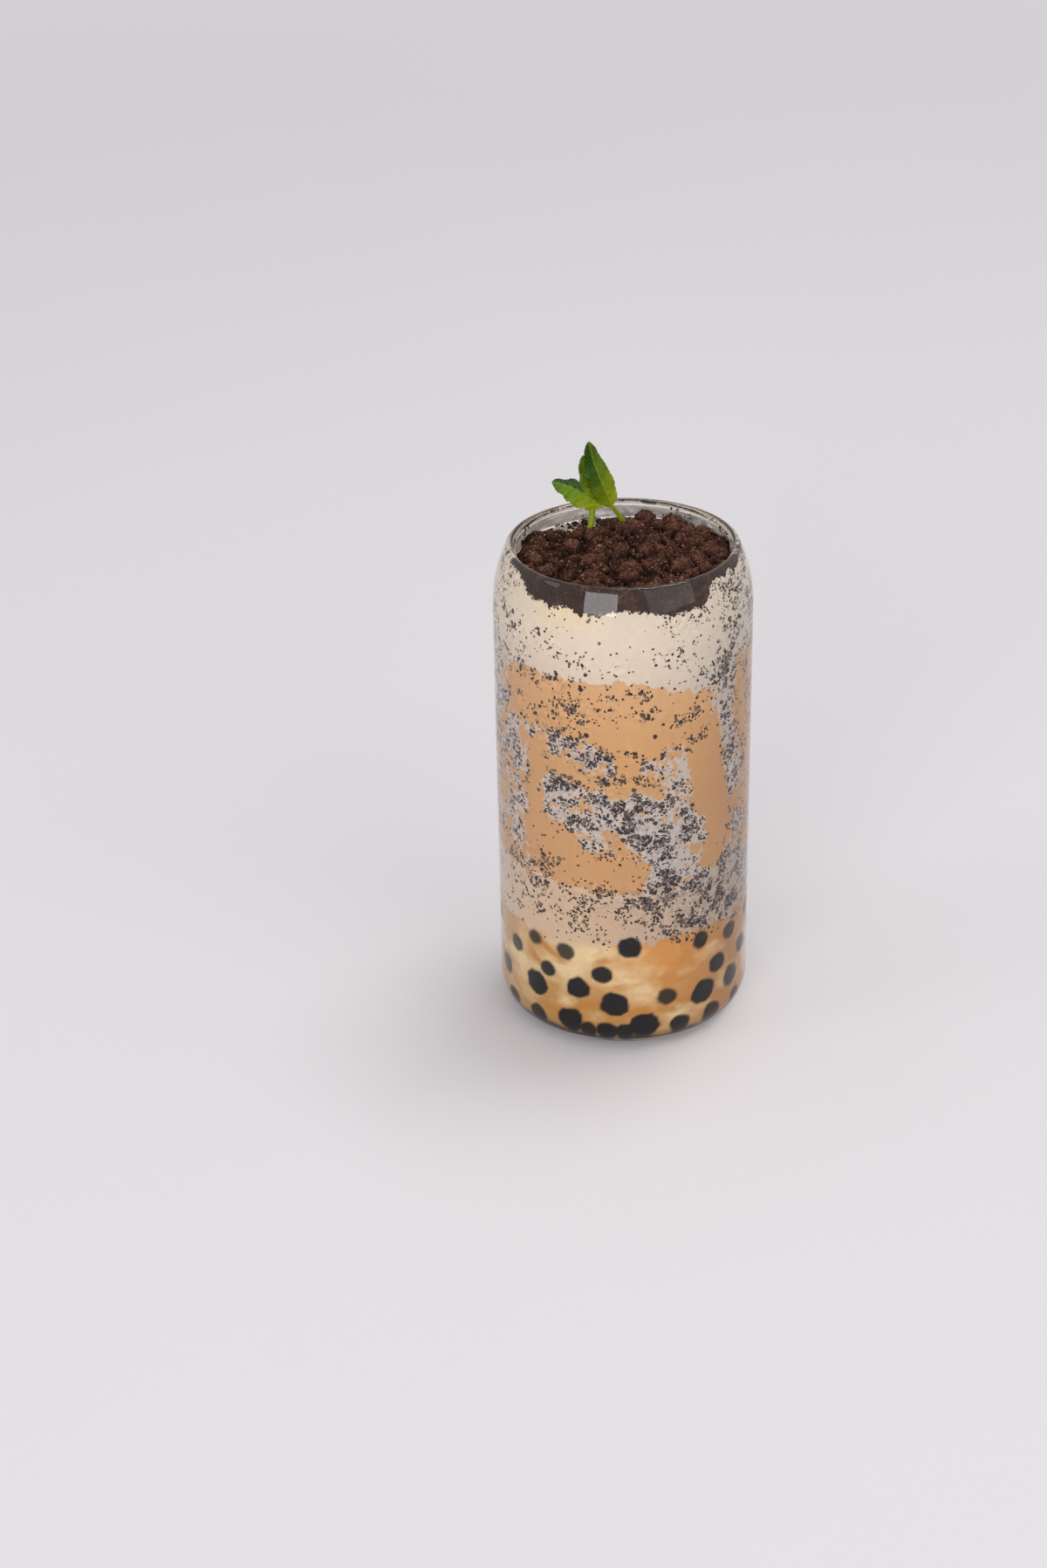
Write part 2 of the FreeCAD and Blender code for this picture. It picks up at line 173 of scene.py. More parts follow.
def glass_outline():
    """The wall's whole section from the underside's centre, out and up to the lip, and down the
    inside to the floor's centre: arcs, joined by their straight tangents."""
    punt = BODY_RADIUS - FOOT_CORNER - FOOT_RING
    dome = (punt**2 + PUNT_DEPTH**2) / (2 * PUNT_DEPTH)
    dome_turn = math.degrees(math.asin(punt / dome))
    lip = (BODY_RADIUS - RIM_INSET - WALL / 2, RIM_HEIGHT - WALL / 2)
    lean = math.degrees(math.atan2(SHOULDER_RISE, lip[0] - SHOULDER_CENTRE))
    shoulder = (SHOULDER_CENTRE, SHOULDER_START)
    corner = (INSIDE_RADIUS - FLOOR_CORNER, BASE_THICKNESS + FLOOR_CORNER)
    return np.concatenate([
        arc((0, PUNT_DEPTH - dome), dome, 90, 90 - dome_turn, 12),
        arc((BODY_RADIUS - FOOT_CORNER, FOOT_CORNER), FOOT_CORNER, 270, 360, 26),
        arc(shoulder, SHOULDER_RADIUS + WALL / 2, 0, lean, 26)[:-1],
        arc(lip, WALL / 2, lean, lean + 180, 24),
        arc(shoulder, SHOULDER_RADIUS - WALL / 2, lean, 0, 26)[1:],
        arc(corner, FLOOR_CORNER, 360, 270, 22),
        [[0.0, BASE_THICKNESS]],
    ])


outline = glass_outline()
glass_angles = np.linspace(0, 2 * np.pi, GLASS_COLUMNS, endpoint=False)
glass_radius = np.repeat(outline[:, :1], GLASS_COLUMNS, axis=1)
glass_height = np.repeat(outline[:, 1:], GLASS_COLUMNS, axis=1)
glass_points, glass_faces = turned(glass_radius, glass_height, glass_angles)
make_piece("drinking_glass", glass_points, glass_faces, clear_glass(), ["glass"])


# ------------------------------------------------------------------ the drink's layers
# Milk tea over brown-sugar pearls, with cookie cream folded through it and whipped cream on top.
# Each layer fills the glass and is pressed against its wall, where the marbling shows.

PRESS = 0.25  # how far what fills the glass reaches into its wall, so that no air shows between
CELL = 0.5  # the spacing of the layers' grid on the wall
CRUMBS_BELOW_RIM = 3.8
CRUMB_DEPTH = 2.8
CREAM_DEPTH = 21.4
PEARL_TEA_DEPTH = 34.0
COOKIE_CREAM_DEPTH = 18.0
LAYER_WAVE = 1.3
SHARP_EDGE = math.radians(50)  # a layer's faces meet in an edge where they turn by more than this

CRUMB_LEVEL = RIM_HEIGHT - CRUMBS_BELOW_RIM
CREAM_TOP = CRUMB_LEVEL - CRUMB_DEPTH
MILK_TEA_TOP = CREAM_TOP - CREAM_DEPTH
PEARL_TEA_TOP = BASE_THICKNESS + PEARL_TEA_DEPTH
COOKIE_CREAM_TOP = PEARL_TEA_TOP + COOKIE_CREAM_DEPTH

# Swirls seen through the wall: degrees round from the front towards the right, height, half-width
# in degrees, half-height, lean in degrees, how much cream is in it, and how many crumbs.
SWIRLS = [
    # the lower edge of the cream, and what hangs from it
    (-75, 121, 14, 4.0, 0, 0.9, 0.3), (33, 119.5, 13, 2.4, 0, 0.9, 0.1),
    (53, 112, 6.5, 11.0, 0, 0.95, 0.6), (56, 92, 6.0, 7.5, 0, 0.8, 0.8), (47, 121, 5, 3, 0, 0.6, 0.7),
    # rows of crumbs high in the milk tea
    (-52, 119.5, 6, 1.7, 0, 0.0, 1.2), (-32, 119.3, 9, 1.7, 0, 0.0, 1.3),
    (3, 117.5, 8, 1.8, 0, 0.0, 0.5), (-57, 110.5, 7, 2.4, 0, 0.05, 1.1),
    (-20, 111.5, 11, 2.4, -4, 0.05, 1.3), (8, 110.5, 7, 1.8, 0, 0.15, 1.2),
    (26, 108, 6, 2.0, 0, 0.0, 0.6), (36, 111.5, 4.5, 2.0, 0, 0.0, 0.9),
    (-30, 105.5, 10, 2.6, -12, 0.1, 1.4),
    # the broken band across the middle
    (-42, 102.5, 14, 2.0, 0, 0.7, 0.9), (-25, 99.5, 9, 3.4, -12, 0.9, 1.1),
    (-13, 94.5, 5.5, 3.2, -25, 0.8, 1.0),
    (-6, 98.0, 3.5, 2.0, 0, 0.4, 0.8), (4, 100.5, 2.6, 1.8, 0, 0.2, 1.2),
    (-3, 91.0, 9, 1.7, -6, 0.3, 1.2),
    (13, 95.5, 4.5, 2.4, 15, 0.9, 0.7), (27, 91.0, 7.0, 5.0, 0, 1.0, 0.45),
    (24, 98.5, 5, 2.6, 0, 0.7, 1.0),
    (36, 102.5, 5, 2.0, 10, 0.2, 1.1), (14, 88.0, 3, 1.4, 0, 0.0, 0.9),
    (-58, 98, 7, 3.5, 0, 0.9, 0.6), (-56, 91, 6.5, 3.5, 0, 0.9, 0.9), (-36, 96, 5, 1.6, -10, 0.2, 0.5),
    # the large swirl that falls from the left to the lower right
    (-35, 87.5, 9, 3.0, 0, 0.9, 1.2), (-31, 81.5, 8.5, 5.0, -20, 1.0, 0.9),
    (-16, 86.0, 8, 2.4, 0, 0.6, 1.2),
    (-2, 83.0, 9, 3.2, 0, 0.8, 1.3), (17, 82.5, 10, 2.6, 0, 0.7, 1.1), (6, 77.0, 8, 4.5, 0, 0.8, 1.5),
    (-11, 76.5, 6.5, 3.8, 0, 1.0, 0.7), (-17, 71.0, 7, 2.6, -25, 0.9, 1.2),
    (25, 75.0, 10, 4.0, 0, 1.0, 1.1),
    (10, 70.0, 9, 3.2, 0, 0.9, 1.3), (-8, 66.5, 5, 2.0, 0, 0.3, 0.9), (38, 71.5, 7, 3.0, -20, 0.9, 1.0),
    (27, 63.5, 13, 5.5, 0, 1.1, 0.65), (13, 57.5, 9, 3.0, 0, 0.9, 1.3), (42, 56.5, 7, 2.4, 0, 0.7, 0.8),
    (62, 84, 9, 5.0, 20, 0.8, 0.9), (64, 68, 10, 4.0, 10, 0.6, 0.8), (58, 58, 10, 4.0, 0, 0.9, 0.7),
    # the left side
    (-57, 75, 8.5, 7.0, 0, 1.0, 0.8), (-54, 64, 8, 3.6, 0, 0.9, 0.7), (-74, 108, 10, 7.0, 20, 0.9, 0.9),
    (-76, 90, 9, 5.0, -20, 0.8, 0.8), (-77, 68, 8, 5.0, 15, 0.7, 0.6), (-37, 62.5, 6, 2.4, 0, 0.5, 1.0),
    (-24, 75.5, 4.0, 2.2, -30, 0.5, 1.0), (-47, 58, 9, 2.2, 0, 0.45, 0.85),
    # windows of plain milk tea
    (-44, 84, 4.0, 14.0, -6, -0.9, -0.8), (46, 79, 6.5, 12.0, 8, -1.0, -0.8),
    (-31, 66.5, 10, 4.0, 25, -0.9, -0.5),
    (-3, 60.5, 8.5, 3.6, 0, -1.0, -0.7), (46, 61, 4, 3.4, 0, -0.9, -0.6),
    (-2, 106, 12, 3.5, 0, -0.8, -0.5),
    (14, 104, 8, 3.0, 0, -0.7, -0.4), (41, 93, 4.5, 9, 0, -0.9, -0.6), (-22, 90.8, 8, 1.8, 0, -0.6, 0.0),
    # crumbs in the cream on top
    (-56, 145, 5, 2.0, 0, 0, 0.7), (-68, 143, 6, 3.0, 0, 0, 0.5), (54, 144, 5, 3.0, 0, 0, 0.6),
    (-57, 129, 8, 4.0, 0, 0, 0.75), (-72, 135, 8, 6.0, 0, 0, 0.6), (57, 132, 9, 5.0, -25, 0, 0.65),
    (54, 121, 8, 5.0, 0, 0, 0.6), (-20, 128, 5, 2.0, 0, 0, 0.4), (-3, 127, 3.5, 2.5, 0, 0, 0.6),
    (26, 129, 8, 2.6, 0, 0, 0.35), (-12, 142, 6, 1.6, 0, 0, 0.9), (32, 138.5, 10, 4.5, 0, 0, 0.4),
    (64, 142, 9, 5.0, 0, 0, 0.5), (75, 122, 8, 12.0, 0, 0, 0.7), (-35, 132, 6, 4.0, 0, 0, 0.3),
    # crumbs in the cookie cream low down
    (-10, 55.0, 7, 1.8, 0, 0.1, 1.4), (13, 52.8, 12, 2.6, -4, 0.2, 2.2), (38, 52.3, 13, 2.4, 0, 0.2, 2.0),
    (60, 54, 11, 4.0, -10, 0.3, 0.7), (-20, 48.0, 6, 4.0, 0, 0.0, 0.75), (-27, 42.0, 4, 2.6, 0, 0.0, 0.7),
    (-13, 41.0, 5, 2.4, 0, 0.0, 0.4), (-38, 53.5, 11, 2.2, 0, 0.0, 0.6), (-58, 55.0, 8, 3.0, 0, 0.1, 0.6),
    (26, 43.5, 10, 4.5, 0, 0.1, 1.4), (42, 42.5, 10, 4.5, 0, 0.1, 1.3), (22, 36.5, 4, 1.8, 0, 0.0, 0.8),
    (52, 44, 9, 5.0, -15, 0.1, 0.95), (66, 42, 10, 6.0, -10, 0.1, 0.8), (-56, 44, 8, 4.0, 0, 0.0, 0.25),
    (-5, 48, 6, 3.0, 0, 0.0, 0.7), (8, 47, 6, 2.5, 0, 0.0, 0.8), (-40, 47, 8, 3.0, 0, 0.0, 0.35),
]

# Streaks in the tea about the pearls, in the same terms: how milky, and how much brown syrup.
TEA_STREAKS = [
    (-30, 27, 13, 5.0, 0, 0.8, 0.0), (-12, 33, 16, 3.0, 0, 0.9, 0.0), (2, 25, 10, 2.5, 15, 0.7, 0.0),
    (11, 19, 8, 3.0, 0, 0.8, 0.0), (-26, 15, 5, 2.5, 0, 0.6, 0.0), (-58, 20, 9, 7.0, 0, 0.6, 0.0),
    (45, 29, 8, 2.0, 0, 0.4, 0.0), (28, 11, 7, 2.0, 0, 0.5, 0.0), (-38, 31, 9, 1.1, -38, 0.0, 1.2),
    (-46, 26, 5, 1.2, -50, 0.0, 1.0), (-20, 13.5, 12, 1.2, 5, 0.0, 1.2), (-3, 22, 9, 0.9, 12, 0.0, 0.8),
    (14, 13.0, 10, 1.3, 0, 0.0, 1.1), (27, 15.5, 6, 0.9, -20, 0.0, 0.8), (-35, 10, 10, 1.5, 0, 0.0, 0.9),
    (-8, 29.5, 7, 0.9, 20, 0.0, 0.7), (20, 24, 12, 5.0, 0, 0.0, 0.3),
]

rng = np.random.default_rng(29)


def lattice(cells, seed):
    """A repeatable random number from 0 to 1 for each whole-number cell, by mixing its bits."""
    mixed = cells[..., 0] * 73856093 ^ cells[..., 1] * 19349663 ^ cells[..., 2] * 83492791
    mixed = (mixed ^ (seed * 2654435761 & 0x7FFFFFFF)) & 0x7FFFFFFF
    mixed = (mixed ^ (mixed >> 13)) * 1274126177 & 0x7FFFFFFF
    mixed = (mixed ^ (mixed >> 16)) * 1103515245 & 0x7FFFFFFF
    return ((mixed >> 8) & 0xFFFF) / 65535.0


def noise(points, size, seed, octaves=3):
    """Smooth random values about 0, within 0.5: random numbers at the corners of cells of the
    given size, blended by 3t^2 - 2t^3, with each further octave half as large and half as strong."""
    total, weight, reach = 0.0, 1.0, 0.0
    for octave in range(octaves):
        scaled = np.asarray(points) / (size / 2**octave) + 17.3 * (octave + 1)
        cell = np.floor(scaled).astype(np.int64)
        part = scaled - cell
        part = part * part * (3 - 2 * part)
        value = 0.0
        for corner in range(8):
            step = np.array([corner & 1, corner >> 1 & 1, corner >> 2 & 1])
            share = np.prod(np.where(step == 1, part, 1 - part), axis=-1)
            value = value + share * lattice(cell + step, seed + 31 * octave)
        total = total + weight * (value - 0.5)
        reach += weight
        weight /= 2
    return total / reach


def soft_step(low, high, value):
    """0 under low and 1 over high, with 3t^2 - 2t^3 between."""
    t = np.clip((value - low) / (high - low), 0, 1)
    return t * t * (3 - 2 * t)


def inside_radius(height):
    """The radius of the glass's inner wall at a height: the floor's corner, the straight wall,
    or the shoulder's inner arc."""
    rise = np.clip(BASE_THICKNESS + FLOOR_CORNER - height, 0, FLOOR_CORNER)
    low = INSIDE_RADIUS - FLOOR_CORNER + np.sqrt(FLOOR_CORNER**2 - rise**2)
    up = np.clip(height - SHOULDER_START, 0, SHOULDER_RISE)
    high = SHOULDER_CENTRE + np.sqrt((SHOULDER_RADIUS - WALL / 2) ** 2 - up**2)
    return np.minimum(low, high)


def on_wall(angle, height):
    """Points on the inner wall at angles in radians and heights."""
    radius = inside_radius(height)
    return np.stack([radius * np.sin(angle), -radius * np.cos(angle), height], -1)


def boundary(level, angle, seed):
    """The height of a layer's wavy edge round the wall: the level, with three crossed sines."""
    wave = 0.5 * np.sin(2 * angle + seed) + 0.3 * np.sin(5 * angle + 2 * seed)
    return level + LAYER_WAVE * (wave + 0.2 * np.sin(9 * angle + 3 * seed))


def degrees_round(angle):
    """Degrees from the front, from -180 to 180."""
    return np.degrees((angle + np.pi) % (2 * np.pi) - np.pi)


def swirl_sums(angle, height, swirls):
    """The two amounts that a list of swirls gives each place on the wall: the sum of the swirls,
    each a leaning bell, at places that are first bent by noise."""
    place = on_wall(angle, height)
    across = degrees_round(angle) + 9.0 * noise(place, 8.0, 3, 5)
    level = height + 6.0 * noise(place, 7.0, 5, 5)
    sums = np.zeros((2,) + height.shape)
    for middle, z, wide, tall, lean, *amounts in swirls:
        turn = math.radians(lean)
        along = ((across - middle + 180) % 360 - 180) * math.radians(1) * INSIDE_RADIUS
        up = level - z
        u = along * math.cos(turn) + up * math.sin(turn)
        v = (up * math.cos(turn) - along * math.sin(turn)) / tall
        u = u / (wide * math.radians(1) * INSIDE_RADIUS)
        bell = np.exp(-0.6 * (u * u + v * v) ** 1.15)
        sums[0] += amounts[0] * bell
        sums[1] += amounts[1] * bell
    return sums


def swirl_fields(angle, height):
    """How much cream and how many crumbs there are at each place on the wall: by the swirls, and
    round the back, beyond their reach, by noise alone."""
    place = on_wall(angle, height)
    cream, crumbs = swirl_sums(angle, height, SWIRLS)
    drift = noise(place * [1, 1, 1.7], 16.0, 11, 4)
    behind = soft_step(66, 84, np.abs(degrees_round(angle)))
    cream += behind * (4.5 * drift + 0.15)
    crumbs += behind * np.clip(2.8 * noise(place * [1, 1, 1.5], 11.0, 13, 4) + 0.45, 0, 1.2)
    return cream, np.clip(crumbs, 0, 2)


def blend_tones(angle, height, tones):
    """A colour for each place: each tone has a place in degrees and a height, with half-widths
    and a colour, and counts by a bell about its place."""
    across = degrees_round(angle)
    total = np.zeros(height.shape + (3,))
    weights = np.full(height.shape, 1e-6)
    for middle, z, wide, tall, code in tones:
        along = ((across - middle + 180) % 360 - 180) / wide
        bell = np.exp(-0.5 * (along**2 + ((height - z) / tall) ** 2)) + 1e-5
        total += bell[..., None] * linear(code)
        weights += bell
    return total / weights[..., None]


# The liquids' tones round the wall: degrees from the front, height, half-width in degrees,
# half-height, and the colour.
TEA_TONES = [
    (-20, 118, 60, 9, "#d3a679"), (20, 116, 30, 6, "#d6ab80"), (0, 104, 60, 10, "#d0a06c"),
    (-45, 80, 25, 16, "#cb9d6e"), (0, 62, 30, 9, "#c9996b"), (45, 80, 16, 20, "#c59769"),
    (75, 95, 18, 30, "#b98f68"), (-75, 95, 18, 30, "#bf9875"), (180, 95, 60, 40, "#c9996b"),
    (22, 29, 18, 7, "#d5944c"), (38, 20, 16, 8, "#c08a4e"), (-25, 30, 14, 6, "#cfa97a"),
    (-44, 27, 9, 6, "#c69a60"), (-40, 15, 18, 5, "#bd9052"), (-5, 13, 16, 5, "#bd8646"),
    (5, 23, 8, 4, "#cfa276"), (60, 24, 14, 10, "#b28052"), (-64, 24, 10, 10, "#bf9a70"),
    (180, 22, 60, 12, "#c28f56"),
]
MILKY_TEA = "#e6cd9f"
BROWN_SYRUP = "#c07f35"
CREAM_TONES = [
    (-30, 134, 60, 8, "#dfceba"), (30, 132, 40, 8, "#dacbbb"), (-28, 140, 9, 2.5, "#ecd3a6"),
    (60, 115, 14, 20, "#c4b8af"), (0, 95, 50, 14, "#c4b6af"), (-60, 90, 16, 20, "#c6b7ae"),
    (25, 64, 22, 10, "#c0b6b2"), (0, 47, 30, 6, "#c7a98c"), (-40, 47, 20, 7, "#d5b99c"),
    (40, 46, 20, 6, "#b9a498"), (180, 90, 60, 50, "#cdbfb2"), (65, 52, 14, 10, "#ae9f94"),
]


def marbled_drink(name, gloss):
    """Milk tea, cream or both, as a liquid pressed to clear glass: no gloss of its own shows, and
    the two liquids meet in ragged edges about half a millimetre wide. Grey flecks are crumbs that
    lie a little behind the wall."""
    material, tree, out = new_material(name)
    place = add_node(tree, "ShaderNodeTexCoord").outputs["Object"]
    tea = add_node(tree, "ShaderNodeAttribute", {"attribute_name": "tea_tone"}).outputs["Color"]
    cream = add_node(tree, "ShaderNodeAttribute", {"attribute_name": "cream_tone"}).outputs["Color"]
    share = add_node(tree, "ShaderNodeAttribute", {"attribute_name": "cream"}).outputs["Fac"]
    flecks = add_node(tree, "ShaderNodeAttribute", {"attribute_name": "flecks"}).outputs["Fac"]
    pearl = add_node(tree, "ShaderNodeAttribute", {"attribute_name": "pearl"}).outputs["Fac"]
    ragged = add_node(tree, "ShaderNodeTexNoise", Vector=place, Scale=1 / (2.2 * MM), Detail=5.0,
                      Roughness=0.62)
    edge = add_node(tree, "ShaderNodeMath", {"operation": "MULTIPLY_ADD"},
                    i0=ragged.outputs["Fac"], i1=1.9, i2=share)
    meet = add_node(tree, "ShaderNodeMapRange", {"interpolation_type": "SMOOTHSTEP"},
                    Value=edge.outputs[0], From_Min=1.34, From_Max=1.52)
    liquid = add_node(tree, "ShaderNodeMix", {"data_type": "RGBA"}, i0=meet.outputs[0], i6=tea,
                      i7=cream)
    cloud = add_node(tree, "ShaderNodeTexNoise", Vector=place, Scale=1 / (1.8 * MM), Detail=5.0,
                     Roughness=0.65)
    contrast = add_node(tree, "ShaderNodeMapRange", Value=flecks, From_Max=0.35, To_Min=0.035,
                        To_Max=0.28)
    swing = add_node(tree, "ShaderNodeMapRange", Value=cloud.outputs["Fac"], From_Min=0.32,
                     From_Max=0.68, To_Min=-1.0, To_Max=1.0)
    shade = add_node(tree, "ShaderNodeMath", {"operation": "MULTIPLY_ADD"},
                     i0=swing.outputs[0], i1=contrast.outputs[0], i2=1.0)
    tinted = add_node(tree, "ShaderNodeMix", {"data_type": "RGBA", "blend_type": "MULTIPLY"}, i0=1.0,
                      i6=liquid.outputs[2], i7=shade.outputs[0])
    dots = add_node(tree, "ShaderNodeTexVoronoi", Vector=place, Scale=1 / (0.9 * MM))
    sized = add_node(tree, "ShaderNodeMath", {"operation": "MULTIPLY_ADD"},
                     i0=dots.outputs["Distance"], i1=-1.0, i2=flecks)
    seen = add_node(tree, "ShaderNodeMapRange", Value=sized.outputs[0], From_Min=0.0,
                    From_Max=0.25, To_Max=0.62)
    flecked = add_node(tree, "ShaderNodeMix", {"data_type": "RGBA"}, i0=seen.outputs[0],
                       i6=tinted.outputs[2], i7=(*linear("#6b5f5b"), 1))
    shaded = add_node(tree, "ShaderNodeMix", {"data_type": "RGBA"}, i0=pearl,
                      i6=flecked.outputs[2], i7=(*linear("#0c090a"), 1))
    skin = add_node(tree, "ShaderNodeBsdfPrincipled", Base_Color=shaded.outputs[2],
                    Roughness=gloss, IOR=1.36, Specular_IOR_Level=0.12)
    tree.links.new(skin.outputs[0], out.inputs["Surface"])
    return material


# The tapioca pearls against the wall: degrees round, height and diameter, and how far each is
# from touching it, from 0 to 1, which veils it with tea.
PEARLS = [
    (-60, 27, 6.4, 0.35), (-46, 33, 5.8, 0.3), (-38, 24, 6.0, 0.1), (-45, 17.5, 8.2, 0.0),
    (-28, 32, 6.8, 0.3), (-22, 20.5, 7.4, 0.0), (-10, 26, 6.6, 0.05), (-4, 16, 8.4, 0.0),
    (3, 35.6, 7.2, 0.0), (-26, 8.6, 8.4, 0.0), (10, 8.0, 9.0, 0.0), (-8, 6.6, 7.0, 0.0),
    (1, 6.2, 6.4, 0.05), (-17, 6.4, 6.0, 0.1),
    (21, 17.5, 6.4, 0.25), (28, 6.8, 7.0, 0.05), (39, 34, 6.2, 0.05), (40.5, 15.5, 8.4, 0.0),
    (50, 23, 7.0, 0.05), (59, 31.5, 6.8, 0.3), (61, 15.5, 8.0, 0.25), (72, 23, 7.0, 0.3),
    (-45, 6.6, 7.0, 0.2), (47, 7.0, 7.4, 0.2), (-72, 16, 7.4, 0.4), (-64, 6.8, 7.0, 0.3),
    (66, 6.6, 6.8, 0.3),
    (80, 33, 6.6, 0.4), (-82, 31, 6.6, 0.4),
]
HIDDEN_PEARLS = 30
MOST_TRIES = 4000


def place_pearls():
    """The listed pearls, and more behind at random heights, more of them low down, none of which
    overlaps another on the wall."""
    placed = [(math.radians(a), z, d / 2, veil) for a, z, d, veil in PEARLS]
    tries = 0
    while len(placed) < len(PEARLS) + HIDDEN_PEARLS and tries < MOST_TRIES:
        tries += 1
        a = math.radians(rng.uniform(88, 272))
        z = 6.8 + 29 * rng.random() ** 1.5
        radius = rng.uniform(3.1, 4.3)
        apart = [math.hypot(((a - b + np.pi) % (2 * np.pi) - np.pi) * INSIDE_RADIUS, z - y) > radius + r
                 for b, y, r, _ in placed]
        if all(apart):
            placed.append((a, z, radius, 0.5 * rng.random() ** 2))
    return placed


pearls = place_pearls()


def pearl_shadow(angle, height):
    """The dark of the pearls in the tea that touches the wall: 1 over each pearl's middle, with an
    edge that is softer where more tea lies between the pearl and the wall, and a dark band along
    the floor, where pearls lie close together, with painted shade in the gaps between them."""
    dark = np.zeros_like(height)
    uneven = 1 + 0.55 * noise(on_wall(angle, height), 3.0, 41, 3)
    for a, z, radius, veil in pearls:
        turn = (angle - a + np.pi) % (2 * np.pi) - np.pi
        away = np.hypot(turn * INSIDE_RADIUS, (height - z) * 1.02) * uneven
        soft = 0.5 + 1.6 * veil
        cover = 1 - soft_step(radius - soft, radius + 0.25, away)
        dark = np.maximum(dark, (1 - 0.2 * veil) * cover)
    # a near-black band along the floor: the pearls packed there, and painted shade between them
    bent = height + 3 * noise(on_wall(angle, height), 7, 43, 2)
    floor = 1 - soft_step(BASE_THICKNESS + 0.8, BASE_THICKNESS + 2.4, bent)
    return np.maximum(dark, 0.92 * floor)


def store(piece, **values):
    """Keeps a number for each of a piece's points, under each name, for its material to read."""
    for name, value in values.items():
        layer = piece.data.attributes.new(name, "FLOAT", "POINT")
        layer.data.foreach_set("value", np.asarray(value, np.float32).ravel())


def paint(piece, angle, height, base_cream):
    """Puts the marbling on a layer's points as attributes, which its material reads."""
    cream, crumbs = swirl_fields(angle, height)
    clump = 3.0 * noise(on_wall(angle, height), 2.6, 71, 4)
    cream = np.clip(cream + clump * np.clip(cream, 0, 0.8) * 0.9, -0.6, 1.1)
    cream = cream + base_cream(angle, height)
    flecks = 0.4 * crumbs * (0.6 + 2.2 * noise(on_wall(angle, height), 3.0, 71, 3))
    store(piece, cream=cream, flecks=np.clip(flecks, 0, 0.5), pearl=pearl_shadow(angle, height))
    place = on_wall(angle, height) * [1, 1, 1.5]
    milky, syrup = swirl_sums(angle, height, TEA_STREAKS)
    low = 1 - soft_step(PEARL_TEA_TOP - 3, PEARL_TEA_TOP + 1, height)
    pale = low * np.clip(1.1 * milky + 1.8 * noise(place, 6.0, 57, 5), 0, 0.95)
    burnt = low * np.clip(0.9 * syrup + 1.8 * noise(place, 5.0, 59, 5) - 0.1, 0, 0.9)
    for name, tones in (("tea_tone", TEA_TONES), ("cream_tone", CREAM_TONES)):
        colour = np.ones((height.size, 4), np.float32)
        blend = blend_tones(angle, height, tones)
        blend = blend + (linear(MILKY_TEA) - blend) * pale[:, None]
        colour[:, :3] = blend + (linear(BROWN_SYRUP) - blend) * burnt[:, None]
        piece.data.attributes.new(name, "FLOAT_COLOR", "POINT").data.foreach_set(
            "color", colour.ravel())


def cream_by_height(angle, height):
    """The share of cream that a place has without any swirl: all cream at the top, none in the
    milk tea, most of it in the cookie cream, and streaks in the tea about the pearls."""
    place = on_wall(angle, height)
    across = degrees_round(angle)
    fine = 2.6 * noise(place, 4.0, 51, 4)
    drips = 5.0 * noise(place * [1, 1, 0.12], 2.2, 52, 3) * soft_step(-20, 0, across)
    drips = drips * soft_step(120, 90, across)
    dip = 2.0 * soft_step(0, 22, across) - 2.0 * soft_step(45, 60, across)
    top = soft_step(MILK_TEA_TOP - 0.6, MILK_TEA_TOP + 1.8, height + fine + drips + dip)
    wide = 11.0 * noise(place * [1, 1, 1.3], 10.0, 55, 4)
    sag = 4.5 * soft_step(-60, -40, across) * (1 - soft_step(-12, 4, across))
    low = soft_step(PEARL_TEA_TOP - 1.5, PEARL_TEA_TOP + 2.5, height + 0.7 * wide + fine + sag)
    low = low * (1 - soft_step(COOKIE_CREAM_TOP - 2.5, COOKIE_CREAM_TOP + 2, height + 0.6 * wide + fine))
    streaks = np.clip(2.0 * noise(place * [1, 1, 1.4], 6, 53, 4) - 0.25, 0, 0.4)
    below = (1 - soft_step(PEARL_TEA_TOP - 4, PEARL_TEA_TOP, height)) * streaks
    return 1.2 * top + 0.85 * low + 0.7 * below


def cream_edge(angle):
    """The cream's upper edge on the wall: ragged under the crumbs at the front, and drawn up the
    wall as a film at both sides, where the spoon brushed it."""
    across = degrees_round(angle)
    side = soft_step(42, 54, np.abs(across + 3)) * (1 - soft_step(95, 130, np.abs(across)))
    ragged = 3.4 * noise(on_wall(angle, np.full_like(angle, CREAM_TOP)), 4.5, 97, 4)
    return boundary(CREAM_TOP, angle, 4.3) + ragged + (4.2 + ragged) * side


def make_layer(name, node, material, bottom, top, brim=0.9, cap=None):
    """One layer as a closed solid: its bottom face, the wall between its two wavy edges, and its
    top face, all on one grid. The lowest layer's wall follows the floor's rounded corner. The
    top face may lie lower than the edge, from a brim that is a share of the radius inwards."""
    columns = int(round(2 * math.pi * INSIDE_RADIUS / CELL))
    angles = np.linspace(0, 2 * np.pi, columns, endpoint=False)
    low, high = bottom(angles), top(angles)
    rows = int(np.ceil((high.max() - low.min()) / CELL)) + 1
    share = np.linspace(0, 1, rows)[:, None]
    height = low + (high - low) * share
    radius = inside_radius(height) + PRESS
    inner = np.array([0.0, 0.5, brim])[:, None]
    radius = np.concatenate([inner * radius[:1], radius, inner[::-1] * radius[-1:]])
    top_face = np.repeat((high if cap is None else np.minimum(high, cap))[None], 3, 0)
    height = np.concatenate([np.repeat(low[None], 3, 0), height, top_face])
    points, faces = turned(radius, height, angles)
    piece = make_piece(name, points, faces, material, [node])
    piece.data.set_sharp_from_angle(angle=SHARP_EDGE)
    angle = np.arctan2(points[:, 0], -points[:, 1]) % (2 * np.pi)
    paint(piece, angle, points[:, 2], cream_by_height)
    return piece


